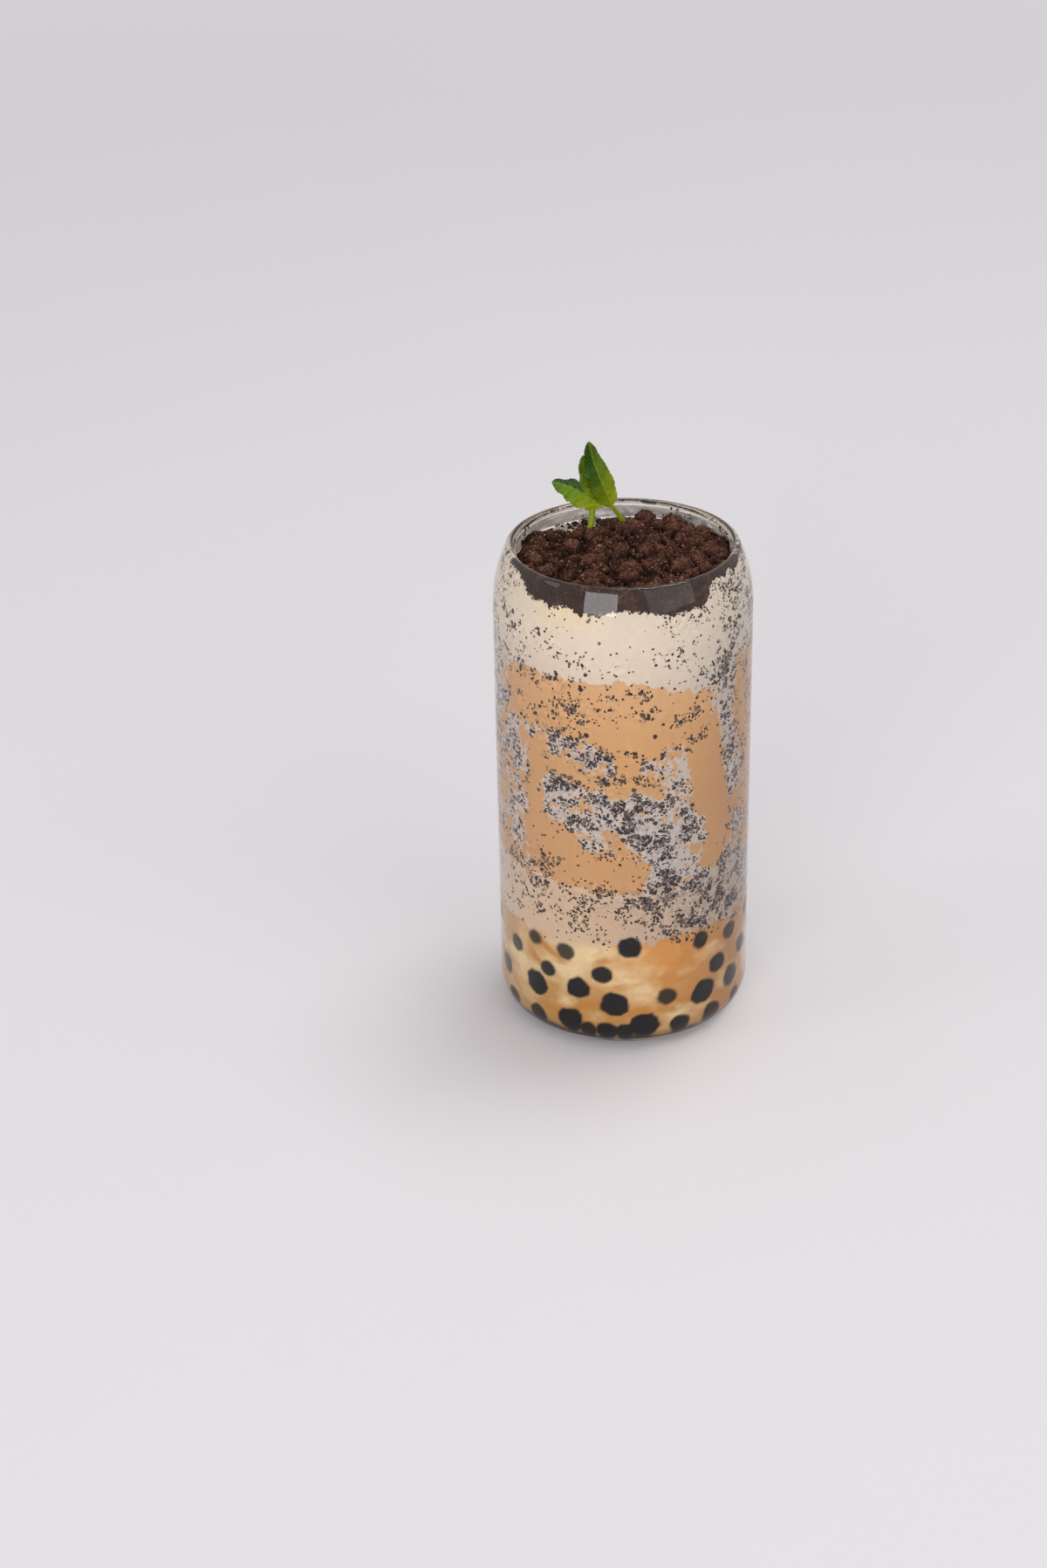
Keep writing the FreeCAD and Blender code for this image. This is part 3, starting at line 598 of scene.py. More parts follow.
drink = marbled_drink("milk_tea_and_cream", 0.5)
level = {
    "floor": lambda a: np.full_like(a, BASE_THICKNESS - 0.001),
    "pearl_tea": lambda a: boundary(PEARL_TEA_TOP, a, 1.0),
    "cookie_cream": lambda a: boundary(COOKIE_CREAM_TOP, a, 2.2),
    "milk_tea": lambda a: boundary(MILK_TEA_TOP, a, 3.1),
    "cream": cream_edge,
}
make_layer("pearl_tea_layer", "pearl_tea", drink, level["floor"], level["pearl_tea"])
make_layer("cookie_cream_layer", "cookie_cream", drink, level["pearl_tea"],
           level["cookie_cream"])
make_layer("milk_tea_layer", "milk_tea", drink, level["cookie_cream"], level["milk_tea"])
make_layer("top_cream_layer", "top_cream", drink, level["milk_tea"], level["cream"], 0.982,
           CREAM_TOP - 0.2)


# ------------------------------------------------------------------ the pearls
# Tapioca pearls cooked in brown sugar: near-black, translucent and sticky. They lie on the floor
# and against the wall, which presses a flat on each.

def tapioca():
    """Cooked tapioca: a dark, smooth jelly with a slight brown depth."""
    material, tree, out = new_material("brown_sugar_tapioca")
    place = add_node(tree, "ShaderNodeTexCoord").outputs["Object"]
    cloud = add_node(tree, "ShaderNodeTexNoise", Vector=place, Scale=1 / (2 * MM), Detail=3.0)
    tone = add_node(tree, "ShaderNodeMix", {"data_type": "RGBA"}, i0=cloud.outputs["Fac"],
                    i6=(*linear("#120e0f"), 1), i7=(*linear("#2a2021"), 1))
    skin = add_node(tree, "ShaderNodeBsdfPrincipled", Base_Color=tone.outputs[2], Roughness=0.25,
                    IOR=1.4, Specular_IOR_Level=0.2)
    tree.links.new(skin.outputs[0], out.inputs["Surface"])
    return material


def make_pearls():
    """Each pearl is a ball on a grid of 18 rings of 32, made a little uneven by noise; where it
    would pass the wall it is flattened onto it."""
    rings, columns = 18, 32
    tilt = np.linspace(0, np.pi, rings + 2)[1:-1, None]
    turn = np.linspace(0, 2 * np.pi, columns, endpoint=False)[None]
    ball = np.stack([np.sin(tilt) * np.cos(turn), np.sin(tilt) * np.sin(turn),
                     np.cos(tilt) * np.ones_like(turn)], -1).reshape(-1, 3)
    ball = np.concatenate([ball, [[0, 0, 1.0], [0, 0, -1.0]]])
    quads = ring_quads(rings, columns)[:, [0, 3, 2, 1]]  # rows run down here, so faces are turned
    near = np.arange(columns)
    after = (near + 1) % columns
    count = rings * columns
    caps = np.concatenate([
        np.stack([np.full(columns, count), near, after], 1),
        np.stack([np.full(columns, count + 1), count - columns + after, count - columns + near], 1),
    ])
    points, all_quads, all_caps = [], [], []
    for i, (a, z, radius, veil) in enumerate(pearls):
        sunk = 0.72 * radius + 2.0 * veil
        middle = np.array([math.sin(a), -math.cos(a), 0]) * (inside_radius(np.array(z)) - sunk)
        middle[2] = max(z, BASE_THICKNESS + radius * 0.95)
        shape = ball * radius * (1 + 0.30 * noise(ball * radius + 50 * i, 3.4, 61, 3))[:, None]
        co = shape + middle
        out = np.hypot(co[:, 0], co[:, 1])
        wall = inside_radius(np.clip(co[:, 2], BASE_THICKNESS, RIM_HEIGHT)) + 0.5 * PRESS
        shrink = np.minimum(1, wall / np.maximum(out, 1e-6))
        co[:, :2] *= shrink[:, None]
        co[:, 2] = np.maximum(co[:, 2], BASE_THICKNESS + 0.05)
        points.append(co)
        all_quads.append(quads + i * len(ball))
        all_caps.append(caps + i * len(ball))
    return make_piece("tapioca_pearls", np.concatenate(points),
                      [np.concatenate(all_quads), np.concatenate(all_caps)], tapioca())


make_pearls()


# ------------------------------------------------------------------ crumbs on the wall
# Crushed dark chocolate cookie, folded through the cream: irregular crumbs a third of a
# millimetre to a millimetre across, which show where they touch the wall.

# A lump is the solid of twenty triangles whose corners are those of three crossed golden
# rectangles; a flat crumb is two six-sided pyramids, base to base.
GOLDEN = (1 + math.sqrt(5)) / 2
LUMP_CORNERS = np.array([
    (-1, GOLDEN, 0), (1, GOLDEN, 0), (-1, -GOLDEN, 0), (1, -GOLDEN, 0),
    (0, -1, GOLDEN), (0, 1, GOLDEN), (0, -1, -GOLDEN), (0, 1, -GOLDEN),
    (GOLDEN, 0, -1), (GOLDEN, 0, 1), (-GOLDEN, 0, -1), (-GOLDEN, 0, 1),
]) / math.hypot(1, GOLDEN)
LUMP_FACES = np.array([
    (0, 11, 5), (0, 5, 1), (0, 1, 7), (0, 7, 10), (0, 10, 11), (1, 5, 9), (5, 11, 4),
    (11, 10, 2), (10, 7, 6), (7, 1, 8), (3, 9, 4), (3, 4, 2), (3, 2, 6), (3, 6, 8), (3, 8, 9),
    (4, 9, 5), (2, 4, 11), (6, 2, 10), (8, 6, 7), (9, 8, 1),
])
FLAT_CORNERS = np.array(
    [(math.cos(k * math.pi / 3), math.sin(k * math.pi / 3), 0) for k in range(6)]
    + [(0, 0, 1), (0, 0, -1)])
FLAT_FACES = np.array(
    [(k, (k + 1) % 6, 6) for k in range(6)] + [((k + 1) % 6, k, 7) for k in range(6)])
COARSE_CRUMBS = 6200
FINE_CRUMBS = 16500
CRUMB_TRIES = 40000


def cookie(name, dark, light, bump=0.0, palest="#a39388"):
    """Dry dark cookie: matt, nearly black with brown grains. A crumb's veil blends it towards
    the palest shade, as cream over it does, or a lighter bake; on the heap's loose grains the pale
    ones are painted highlights."""
    material, tree, out = new_material(name)
    place = add_node(tree, "ShaderNodeTexCoord").outputs["Object"]
    veil = add_node(tree, "ShaderNodeAttribute", {"attribute_name": "veil"}).outputs["Fac"]
    grain = add_node(tree, "ShaderNodeTexNoise", Vector=place, Scale=1 / (0.35 * MM), Detail=3.0)
    tone = add_node(tree, "ShaderNodeMix", {"data_type": "RGBA"}, i0=grain.outputs["Fac"],
                    i6=(*linear(dark), 1), i7=(*linear(light), 1))
    pale = add_node(tree, "ShaderNodeMix", {"data_type": "RGBA"}, i0=veil, i6=tone.outputs[2],
                    i7=(*linear(palest), 1))
    skin = add_node(tree, "ShaderNodeBsdfPrincipled", Base_Color=pale.outputs[2], Roughness=0.85,
                    Specular_IOR_Level=0.15)
    if bump:
        rough = add_node(tree, "ShaderNodeBump", Strength=bump, Distance=0.2 * MM,
                         Height=grain.outputs["Fac"])
        tree.links.new(rough.outputs[0], skin.inputs["Normal"])
    tree.links.new(skin.outputs[0], out.inputs["Surface"])
    return material


def make_crumbs(name, centres, normals, sizes, flatness, veils, material, jitter=0.28,
                shape=(LUMP_CORNERS, LUMP_FACES)):
    """Crumbs of one shape: each corner is pushed in or out at random, and the crumb is turned at
    random about its normal, scaled to its size and flattened along the normal."""
    corners, faces = shape
    count, each = len(centres), len(corners)
    up = normals / np.linalg.norm(normals, axis=1, keepdims=True)
    other = np.where(np.abs(up[:, 2:]) < 0.9, [[0, 0, 1.0]], [[1.0, 0, 0]])
    side = np.cross(other, up)
    side /= np.linalg.norm(side, axis=1, keepdims=True)
    turn = rng.uniform(0, 2 * np.pi, count)[:, None]
    first = side * np.cos(turn) + np.cross(up, side) * np.sin(turn)
    second = np.cross(up, first)
    corners = corners[None] * (1 + jitter * rng.uniform(-1, 1, (count, each, 1)))
    stretch = rng.uniform(0.7, 1.3, (count, 1))
    co = (corners[..., :1] * (first * stretch)[:, None] + corners[..., 1:2] * second[:, None]
          + corners[..., 2:] * (up * flatness)[:, None])
    co = centres[:, None] + co * sizes[:, None, None]
    faces = (faces[None] + each * np.arange(count)[:, None, None]).reshape(-1, 3)
    piece = make_piece(name, co.reshape(-1, 3), [faces], material)
    store(piece, veil=np.repeat(veils, each))
    return piece


def scatter_on_wall(count, low, high):
    """Places on the wall, chosen at random where the swirls hold crumbs, and more often where
    fine noise gathers them in clumps."""
    angle, height = np.empty(0), np.empty(0)
    while len(angle) < count:
        a = rng.uniform(0, 2 * np.pi, CRUMB_TRIES)
        z = rng.uniform(low, high, CRUMB_TRIES)
        crumbs = swirl_fields(a, z)[1] + 0.015
        clump = soft_step(-0.10, 0.13, noise(on_wall(a, z), 2.6, 71, 4))
        keep = rng.random(CRUMB_TRIES) < np.clip(crumbs * (0.05 + 0.95 * clump), 0, 1.5) / 1.5
        keep &= z < cream_edge(a) + 0.5
        angle, height = np.append(angle, a[keep]), np.append(height, z[keep])
    return angle[:count], height[:count]


def wall_crumbs(name, count, middle, smallest, largest, shape, material):
    """Crumbs pressed flat at the wall, and half sunk in the drink."""
    angle, height = scatter_on_wall(count, PEARL_TEA_TOP - 3, RIM_HEIGHT - 1.6)
    centre = on_wall(angle, height)
    normal = np.stack([np.sin(angle), -np.cos(angle), np.zeros_like(angle)], -1)
    size = np.clip(rng.lognormal(math.log(middle), 0.3, count), smallest, largest)
    veil = 0.55 * rng.random(count) ** 3.0
    centre = centre + normal * (PRESS - 0.02 * size[:, None])
    return make_crumbs(name, centre, normal, size, 0.3, veil, material, 0.3, shape)


sunk_cookie = cookie("cookie_crumbs_in_cream", "#1c1516", "#3d3030")
wall_crumbs("coarse_crumbs_in_the_drink", COARSE_CRUMBS, 0.42, 0.32, 0.75,
            (LUMP_CORNERS, LUMP_FACES), sunk_cookie)
wall_crumbs("fine_crumbs_in_the_drink", FINE_CRUMBS, 0.27, 0.15, 0.4,
            (FLAT_CORNERS, FLAT_FACES), sunk_cookie)


# ------------------------------------------------------------------ the heap on top
# A deep layer of dry cookie crumbs, spooned on loosely: clumps up to a few millimetres across
# over fine grains, mounded a little behind the middle and level at the wall.

MOUND_RISE = 5.2
MOUND_RADIUS = 12.5
MOUND_PLACE = (6.0, 9.0)
CRUMB_TILT = 0.06
HEAP_COLUMNS = 700
HEAP_RINGS = 121
# Each set of clumps: how many, their smallest and largest radius, and how low they lie.
CLUMPS = ((85, 2.0, 4.2, -0.5), (260, 0.9, 2.0, 0.8), (3200, 0.35, 0.9, 2.0))
CLUMPS_REACH = 31.5
LOOSE_GRAINS = 16500
GRAINS_REACH = 32.3


def heap_level(x, y):
    """The heap's smooth level: lower towards the back, with a bell-shaped mound."""
    away = (x - MOUND_PLACE[0]) ** 2 + (y - MOUND_PLACE[1]) ** 2
    return CRUMB_LEVEL - CRUMB_TILT * y + MOUND_RISE * np.exp(-away / (2 * MOUND_RADIUS**2))


def make_clumps():
    """Rounded clumps strewn over the heap, few large and many small: place, level and radius of
    each. The large ones stand highest."""
    sets = []
    for count, small, large, sunk in CLUMPS:
        radius = small + (large - small) * rng.random(count) ** 1.6
        away = CLUMPS_REACH * np.sqrt(rng.random(count))
        turn = rng.uniform(0, 2 * np.pi, count)
        x, y = away * np.sin(turn), -away * np.cos(turn)
        level = heap_level(x, y) - 0.8 * radius + rng.uniform(-1.3, 0.5, count) - sunk
        sets.append(np.stack([x, y, level, radius]))
    return np.concatenate(sets, axis=1)


clumps = make_clumps()


def heap_relief(x, y):
    """The heap's real surface: at each place the top of the highest clump over it, bent by noise,
    with grains as finer noise on the clumps and between them."""
    flat = np.stack([x, y, 0 * x], -1)
    bent_x = x + 3.4 * noise(flat, 2.2, 91, 3)
    bent_y = y + 3.4 * noise(flat, 2.2, 93, 3)
    height = heap_level(x, y) - 3.0
    for cx, cy, level, radius in clumps.T:
        near = np.hypot(bent_x - cx, bent_y - cy) < radius
        dx, dy = bent_x[near] - cx, bent_y[near] - cy
        dome = np.sqrt(radius**2 - dx * dx - dy * dy)
        height[near] = np.maximum(height[near], level + 0.85 * dome)
    return height + 0.9 * noise(flat, 1.5, 81, 2) + 1.2 * noise(flat, 0.62, 83, 2)


def cookie_heap():
    """The heap's crumbs: matt dark chocolate cookie, redder and lighter on the crests of its grains
    as painted highlight, and almost black in the gaps between them as painted shade."""
    material, tree, out = new_material("dark_chocolate_cookie_crumbs")
    place = add_node(tree, "ShaderNodeTexCoord").outputs["Object"]
    crest = add_node(tree, "ShaderNodeAttribute", {"attribute_name": "crest"}).outputs["Fac"]
    grain = add_node(tree, "ShaderNodeTexNoise", Vector=place, Scale=1 / (0.5 * MM), Detail=4.0,
                     Roughness=0.7)
    patch = add_node(tree, "ShaderNodeTexNoise", Vector=place, Scale=1 / (6 * MM), Detail=2.0)
    # Painted light: the crest attribute lifts the ramp to lighter, redder tones on high points as painted
    # highlight, and drops it to near black in the gaps as painted shade.
    mixed = add_node(tree, "ShaderNodeMath", {"operation": "MULTIPLY_ADD"},
                     i0=grain.outputs["Fac"], i1=1.35, i2=crest)
    ramp = add_node(tree, "ShaderNodeValToRGB", i0=mixed.outputs[0])
    stops = ramp.color_ramp.elements
    stops[0].position = 0.42
    stops[0].color = (*linear("#0b0504"), 1)
    stops[1].color = (*linear("#6b4537"), 1)
    for position, code in ((0.68, "#2c1711"), (0.9, "#462a1f")):
        stops.new(position).color = (*linear(code), 1)
    tint = add_node(tree, "ShaderNodeMapRange", Value=patch.outputs["Fac"], From_Min=0.3,
                    From_Max=0.7, To_Min=0.8, To_Max=1.18)
    shade = add_node(tree, "ShaderNodeMix", {"data_type": "RGBA", "blend_type": "MULTIPLY"}, i0=1.0,
                     i6=ramp.outputs[0], i7=tint.outputs[0])
    rough = add_node(tree, "ShaderNodeBump", Strength=0.5, Distance=0.25 * MM,
                     Height=grain.outputs["Fac"])
    skin = add_node(tree, "ShaderNodeBsdfPrincipled", Base_Color=shade.outputs[2], Roughness=0.8,
                    Specular_IOR_Level=0.2, Normal=rough.outputs[0])
    tree.links.new(skin.outputs[0], out.inputs["Surface"])
    return material


def make_heap():
    """A disc of rings whose heights are the relief, closed down the wall to the cream. A point's
    crest light is how high it stands, half over what is around it and half over the smooth heap;
    the material paints high points lighter and low ones darker, as painted highlight and shade."""
    angles = np.linspace(0, 2 * np.pi, HEAP_COLUMNS, endpoint=False)
    reach = inside_radius(np.array(CRUMB_LEVEL)) + 0.5 * PRESS
    away = np.linspace(1, 0, HEAP_RINGS)[:, None] * reach + 0 * angles
    x, y = away * np.sin(angles), -away * np.cos(angles)
    top = heap_relief(x.ravel(), y.ravel()).reshape(x.shape)
    smooth = heap_level(x, y)
    calm = soft_step(reach - 0.8, reach, away)
    edge = 2.4 * noise(np.stack([x, y, 0 * x], -1), 3.0, 87, 3) + 1.6 * soft_step(0, -25, y)
    top = top * (1 - 0.5 * calm) + (smooth - 0.6 + edge) * 0.5 * calm
    top = top + rng.uniform(-0.2, 0.2, top.shape)
    foot = np.full_like(angles, CREAM_TOP - 1.5)
    share = np.linspace(0, 1, 14)[:, None]
    side = foot + (top[0] - foot) * share
    side_radius = inside_radius(np.clip(side, 0, RIM_HEIGHT - 2)) + 0.6 * PRESS
    inner = np.array([0.0, 0.5, 0.95])[:, None]
    radius = np.concatenate([inner * side_radius[:1], side_radius[:-1], away])
    radius[len(inner) + len(side_radius) - 1] = side_radius[-1]
    height = np.concatenate([np.repeat(foot[None], 3, 0), side[:-1], top])
    points, faces = turned(radius, height, angles)
    piece = make_piece("crumb_heap_core", points, faces, cookie_heap(),
                       ["crumb_heap"])
    # Painted light and shade: how far each point stands above its neighbours and the smooth heap.
    steps = (-9, -4, 0, 4, 9)
    around = sum(np.roll(top, (i, j), (0, 1)) for i in steps for j in steps) / len(steps) ** 2
    rise = 0.55 * np.clip(0.55 + 0.42 * (top - around), 0, 1)
    rise = rise + 0.45 * np.clip(0.5 + 0.25 * (top - smooth + 1.2), 0, 1)
    crest = np.full(len(points), 0.42)
    crest[-2 - top[:-1].size:-2] = rise[:-1].ravel()
    crest[-1] = 0.5
    crest = np.where(np.hypot(points[:, 0], points[:, 1]) > reach - 0.3, 0.42, crest)
    store(piece, crest=0.7 * crest - 0.3)
    return piece


make_heap()


def loose_grains():
    """Separate grains that lie on the heap's clumps and in the gaps between them. A few at
    random are paled towards a pinkish brown as painted highlights.
    """
    away = GRAINS_REACH * np.sqrt(rng.random(LOOSE_GRAINS))
    turn = rng.uniform(0, 2 * np.pi, LOOSE_GRAINS)
    x, y = away * np.sin(turn), -away * np.cos(turn)
    size = np.clip(rng.lognormal(math.log(0.21), 0.36, LOOSE_GRAINS), 0.12, 0.55)
    z = heap_relief(x, y) + 0.3 * size
    normal = rng.normal(size=(LOOSE_GRAINS, 3))
    # painted highlights: a few grains at random are paled towards the pinkish palest tone
    veil = 0.75 * rng.random(LOOSE_GRAINS) ** 5
    material = cookie("loose_cookie_grains", "#110806", "#5f3a2a", 0.4, "#c08a6c")
    return make_crumbs("loose_crumbs", np.stack([x, y, z], -1), normal, size, 0.8, veil, material,
                       0.35, (FLAT_CORNERS, FLAT_FACES))


loose_grains()


# ------------------------------------------------------------------ what clings to the glass
# Above the heap the inside of the wall keeps a thin smear of cream from the filling, with single
# crumbs stuck in it.

STUCK_CRUMBS = 120
STUCK_HEIGHT = 146.0
PRESSED_CRUMBS = 9000
FILM_COLUMNS = 440
FILM_RINGS = 12
FILM_BOTTOM = CREAM_TOP + 0.8
FILM_TOP = RIM_HEIGHT - 1.6


def stuck_crumbs():
    """Single crumbs on the bare inner wall between the heap and the lip, in loose groups."""
    angle = rng.uniform(0, 2 * np.pi, 40 * STUCK_CRUMBS)
    groups = soft_step(0.0, 0.2, noise(on_wall(angle, np.full_like(angle, STUCK_HEIGHT)), 7.0, 101, 2))
    angle = angle[rng.random(len(angle)) < groups][:STUCK_CRUMBS]
    x, y = INSIDE_RADIUS * 0.92 * np.sin(angle), -INSIDE_RADIUS * 0.92 * np.cos(angle)
    height = heap_level(x, y) + 0.2 + 3.2 * rng.random(len(angle)) ** 1.8
    height = np.minimum(height, RIM_HEIGHT - 1.4)
    centre = on_wall(angle, height)
    normal = np.stack([np.sin(angle), -np.cos(angle), np.full_like(angle, -0.3)], -1)
    size = np.clip(rng.lognormal(math.log(0.27), 0.45, len(angle)), 0.14, 0.7)
    centre = centre - normal * size[:, None] * 0.25
    material = cookie("crumbs_on_glass", "#231a17", "#4a3a33")
    return make_crumbs("crumbs_on_the_glass", centre, normal, size, 0.6,
                       np.zeros(len(angle)), material, 0.4)


def pressed_crumbs():
    """The heap's own crumbs where they are pressed against the glass above the cream."""
    angle = np.radians(rng.uniform(-98, 98, PRESSED_CRUMBS))
    low = cream_edge(angle) - 1.2 * rng.random(PRESSED_CRUMBS) ** 2
    high = heap_level(INSIDE_RADIUS * np.sin(angle), -INSIDE_RADIUS * np.cos(angle)) + 0.6
    height = np.minimum(low + (np.maximum(high, low + 0.3) - low) * rng.random(PRESSED_CRUMBS),
                        RIM_HEIGHT - 1.5)
    centre = on_wall(angle, height)
    normal = np.stack([np.sin(angle), -np.cos(angle), np.full_like(angle, 0.35)], -1)
    size = np.clip(rng.lognormal(math.log(0.26), 0.45, PRESSED_CRUMBS), 0.14, 0.9)
    veil = 0.30 * soft_step(-0.02, 0.2, noise(centre, 4.5, 105, 4)) * rng.random(PRESSED_CRUMBS)
    centre = centre + normal * (PRESS - 0.05 * size[:, None])
    material = cookie("crumbs_pressed_on_glass", "#090504", "#4a3226", 0.0, "#8a6650")
    return make_crumbs("crumbs_against_the_glass", centre, normal, size, 0.3, veil, material,
                       0.35)


def smeared_cream():
    """A thin film of cream left on glass by a spoon: white where it is thick, and streaked away
    along the wall to nothing where it is thin."""
    material, tree, out = new_material("cream_film_on_glass")
    place = add_node(tree, "ShaderNodeTexCoord").outputs["Object"]
    film = add_node(tree, "ShaderNodeAttribute", {"attribute_name": "film"}).outputs["Fac"]
    stretched = add_node(tree, "ShaderNodeMapping", Vector=place, Scale=(1.0, 1.0, 2.2))
    streak = add_node(tree, "ShaderNodeTexNoise", Vector=stretched.outputs[0], Scale=1 / (4 * MM),
                      Detail=5.0, Roughness=0.6)
    amount = add_node(tree, "ShaderNodeMath", {"operation": "MULTIPLY_ADD"},
                      i0=streak.outputs["Fac"], i1=2.0, i2=film)
    cover = add_node(tree, "ShaderNodeMapRange", Value=amount.outputs[0], From_Min=1.2, From_Max=2.0,
                     To_Max=0.85)
    skin = add_node(tree, "ShaderNodeBsdfPrincipled", Base_Color=(*linear("#ded3c6"), 1),
                    Roughness=0.5, Specular_IOR_Level=0.2)
    bare = add_node(tree, "ShaderNodeBsdfTransparent")
    mix = add_node(tree, "ShaderNodeMixShader", i0=cover.outputs[0], i1=bare.outputs[0],
                   i2=skin.outputs[0])
    tree.links.new(mix.outputs[0], out.inputs["Surface"])
    return material


def cream_film():
    """A ring that follows the inner wall from under the crumbs to just below the lip: an outer
    skin just in the wall and an inner skin a third of a millimetre from it, joined at both rims."""
    angles = np.linspace(0, 2 * np.pi, FILM_COLUMNS, endpoint=False)
    share = np.linspace(0, 1, FILM_RINGS)
    height = FILM_BOTTOM + (FILM_TOP - FILM_BOTTOM) * np.append(share, share[::-1])
    depth = np.repeat([0.08, -0.25], FILM_RINGS)
    radius = inside_radius(height) + depth
    rows = len(height)
    x = radius[:, None] * np.sin(angles)
    y = -radius[:, None] * np.cos(angles)
    points = np.stack([x, y, height[:, None] + 0 * x], -1).reshape(-1, 3)
    quads = ring_quads(rows + 1, FILM_COLUMNS) % len(points)  # the last ring joins the first
    piece = make_piece("cream_film", points, [quads], smeared_cream())
    across = degrees_round(np.arctan2(points[:, 0], -points[:, 1]))
    side = soft_step(44, 62, np.abs(across + 3))
    climb = (points[:, 2] - CREAM_TOP) / (RIM_HEIGHT - CREAM_TOP)
    back = soft_step(75, 110, np.abs(across))
    film = -0.9 + 1.15 * side + 0.6 * back - (0.6 - 0.5 * back) * climb
    store(piece, film=film)
    return piece


stuck_crumbs()
pressed_crumbs()
cream_film()


# ------------------------------------------------------------------ the mint
# Two sprigs of fresh mint pushed into the crumbs: a tall leaf on its own short stalk, with its
# veined underside to the front, and a stem with a leaf out to the left and a small one behind.

# Each leaf: the base, bend and tip of its midrib, with heights from the crumbs' level; which way
# its upper side faces; its width; how many degrees it folds up; how far along it is widest; its
# teeth and side veins; how far the veins run forward; and how far the tip curls.
MINT = {
    "tall": {
        "base": (-2.9, 14.2, 8.2), "bend": (-6.4, 11.8, 16.8), "tip": (-10.3, 12.2, 30.0),
        "upper": (-0.35, 1.0, 0.15), "width": 9.6, "fold": 26.0, "widest": 0.38, "teeth": 15,
        "veins": 13, "rise": 2.3, "curl": -2.4,
    },
    "side": {
        "base": (-5.6, 14.8, 8.0), "bend": (-12.8, 16.6, 14.6), "tip": (-20.4, 18.0, 14.4),
        "upper": (0.15, -0.65, 0.75), "width": 10.2, "fold": -24.0, "widest": 0.42, "teeth": 12,
        "veins": 8, "rise": 0.9, "curl": 0.6,
    },
    "small": {
        "base": (-7.4, 14.8, 8.6), "bend": (-10.0, 18.2, 14.8), "tip": (-11.1, 17.4, 23.4),
        "upper": (-0.3, -0.9, 0.3), "width": 6.0, "fold": 18.0, "widest": 0.55, "teeth": 8,
        "veins": 7, "rise": 1.0, "curl": 0.0,
    },
}
STALKS = {
    "tall": [(0.8, 16.8, 1.6), (-0.6, 16.2, 4.6), (-1.6, 15.4, 6.4), (-3.4, 14.0, 9.4)],
    "side": [(-9.9, 12.4, -0.6), (-9.3, 13.2, 2.6), (-8.4, 14.6, 6.0), (-8.9, 15.8, 9.4)],
}
LEAF_THICKNESS = 0.34
LEAF_ROWS, LEAF_COLUMNS = 170, 71


def mint_leaf(name, light, dark, shine):
    """Fresh mint leaf: a thin waxy green blade, paler along its veins and yellower at its base,
    that lets some light through. Its green moves from the light to the dark tone by random
    blotches and by the shade attribute, which is painted shade."""
    material, tree, out = new_material(name)
    place = add_node(tree, "ShaderNodeTexCoord").outputs["Object"]
    vein = add_node(tree, "ShaderNodeAttribute", {"attribute_name": "vein"}).outputs["Fac"]
    along = add_node(tree, "ShaderNodeAttribute", {"attribute_name": "along"}).outputs["Fac"]
    shade = add_node(tree, "ShaderNodeAttribute", {"attribute_name": "shade"}).outputs["Fac"]
    blotch = add_node(tree, "ShaderNodeTexNoise", Vector=place, Scale=1 / (1.5 * MM), Detail=4.0)
    depth = add_node(tree, "ShaderNodeMath", {"operation": "MULTIPLY_ADD"},
                     i0=blotch.outputs["Fac"], i1=0.5, i2=shade)
    green = add_node(tree, "ShaderNodeMix", {"data_type": "RGBA"}, i0=depth.outputs[0],
                     i6=(*linear(light), 1), i7=(*linear(dark), 1))
    yellow = add_node(tree, "ShaderNodeMapRange", Value=along, From_Min=0.5, From_Max=0.05,
                      To_Max=0.8)
    warm = add_node(tree, "ShaderNodeMix", {"data_type": "RGBA"}, i0=yellow.outputs[0],
                    i6=green.outputs[2], i7=(*linear("#b0b80c"), 1))
    veined = add_node(tree, "ShaderNodeMix", {"data_type": "RGBA"}, i0=vein, i6=warm.outputs[2],
                      i7=(*linear("#9cb63c"), 1))
    net = add_node(tree, "ShaderNodeTexVoronoi", {"feature": "DISTANCE_TO_EDGE"}, Vector=place,
                   Scale=1 / (0.7 * MM))
    quilt = add_node(tree, "ShaderNodeBump", Strength=0.35, Distance=0.08 * MM,
                     Height=net.outputs["Distance"])
    skin = add_node(tree, "ShaderNodeBsdfPrincipled", Base_Color=veined.outputs[2],
                    Roughness=shine, Specular_IOR_Level=0.28, Normal=quilt.outputs[0])
    through = add_node(tree, "ShaderNodeBsdfTranslucent", Color=veined.outputs[2])
    mix = add_node(tree, "ShaderNodeMixShader", i0=0.3, i1=skin.outputs[0], i2=through.outputs[0])
    tree.links.new(mix.outputs[0], out.inputs["Surface"])
    return material


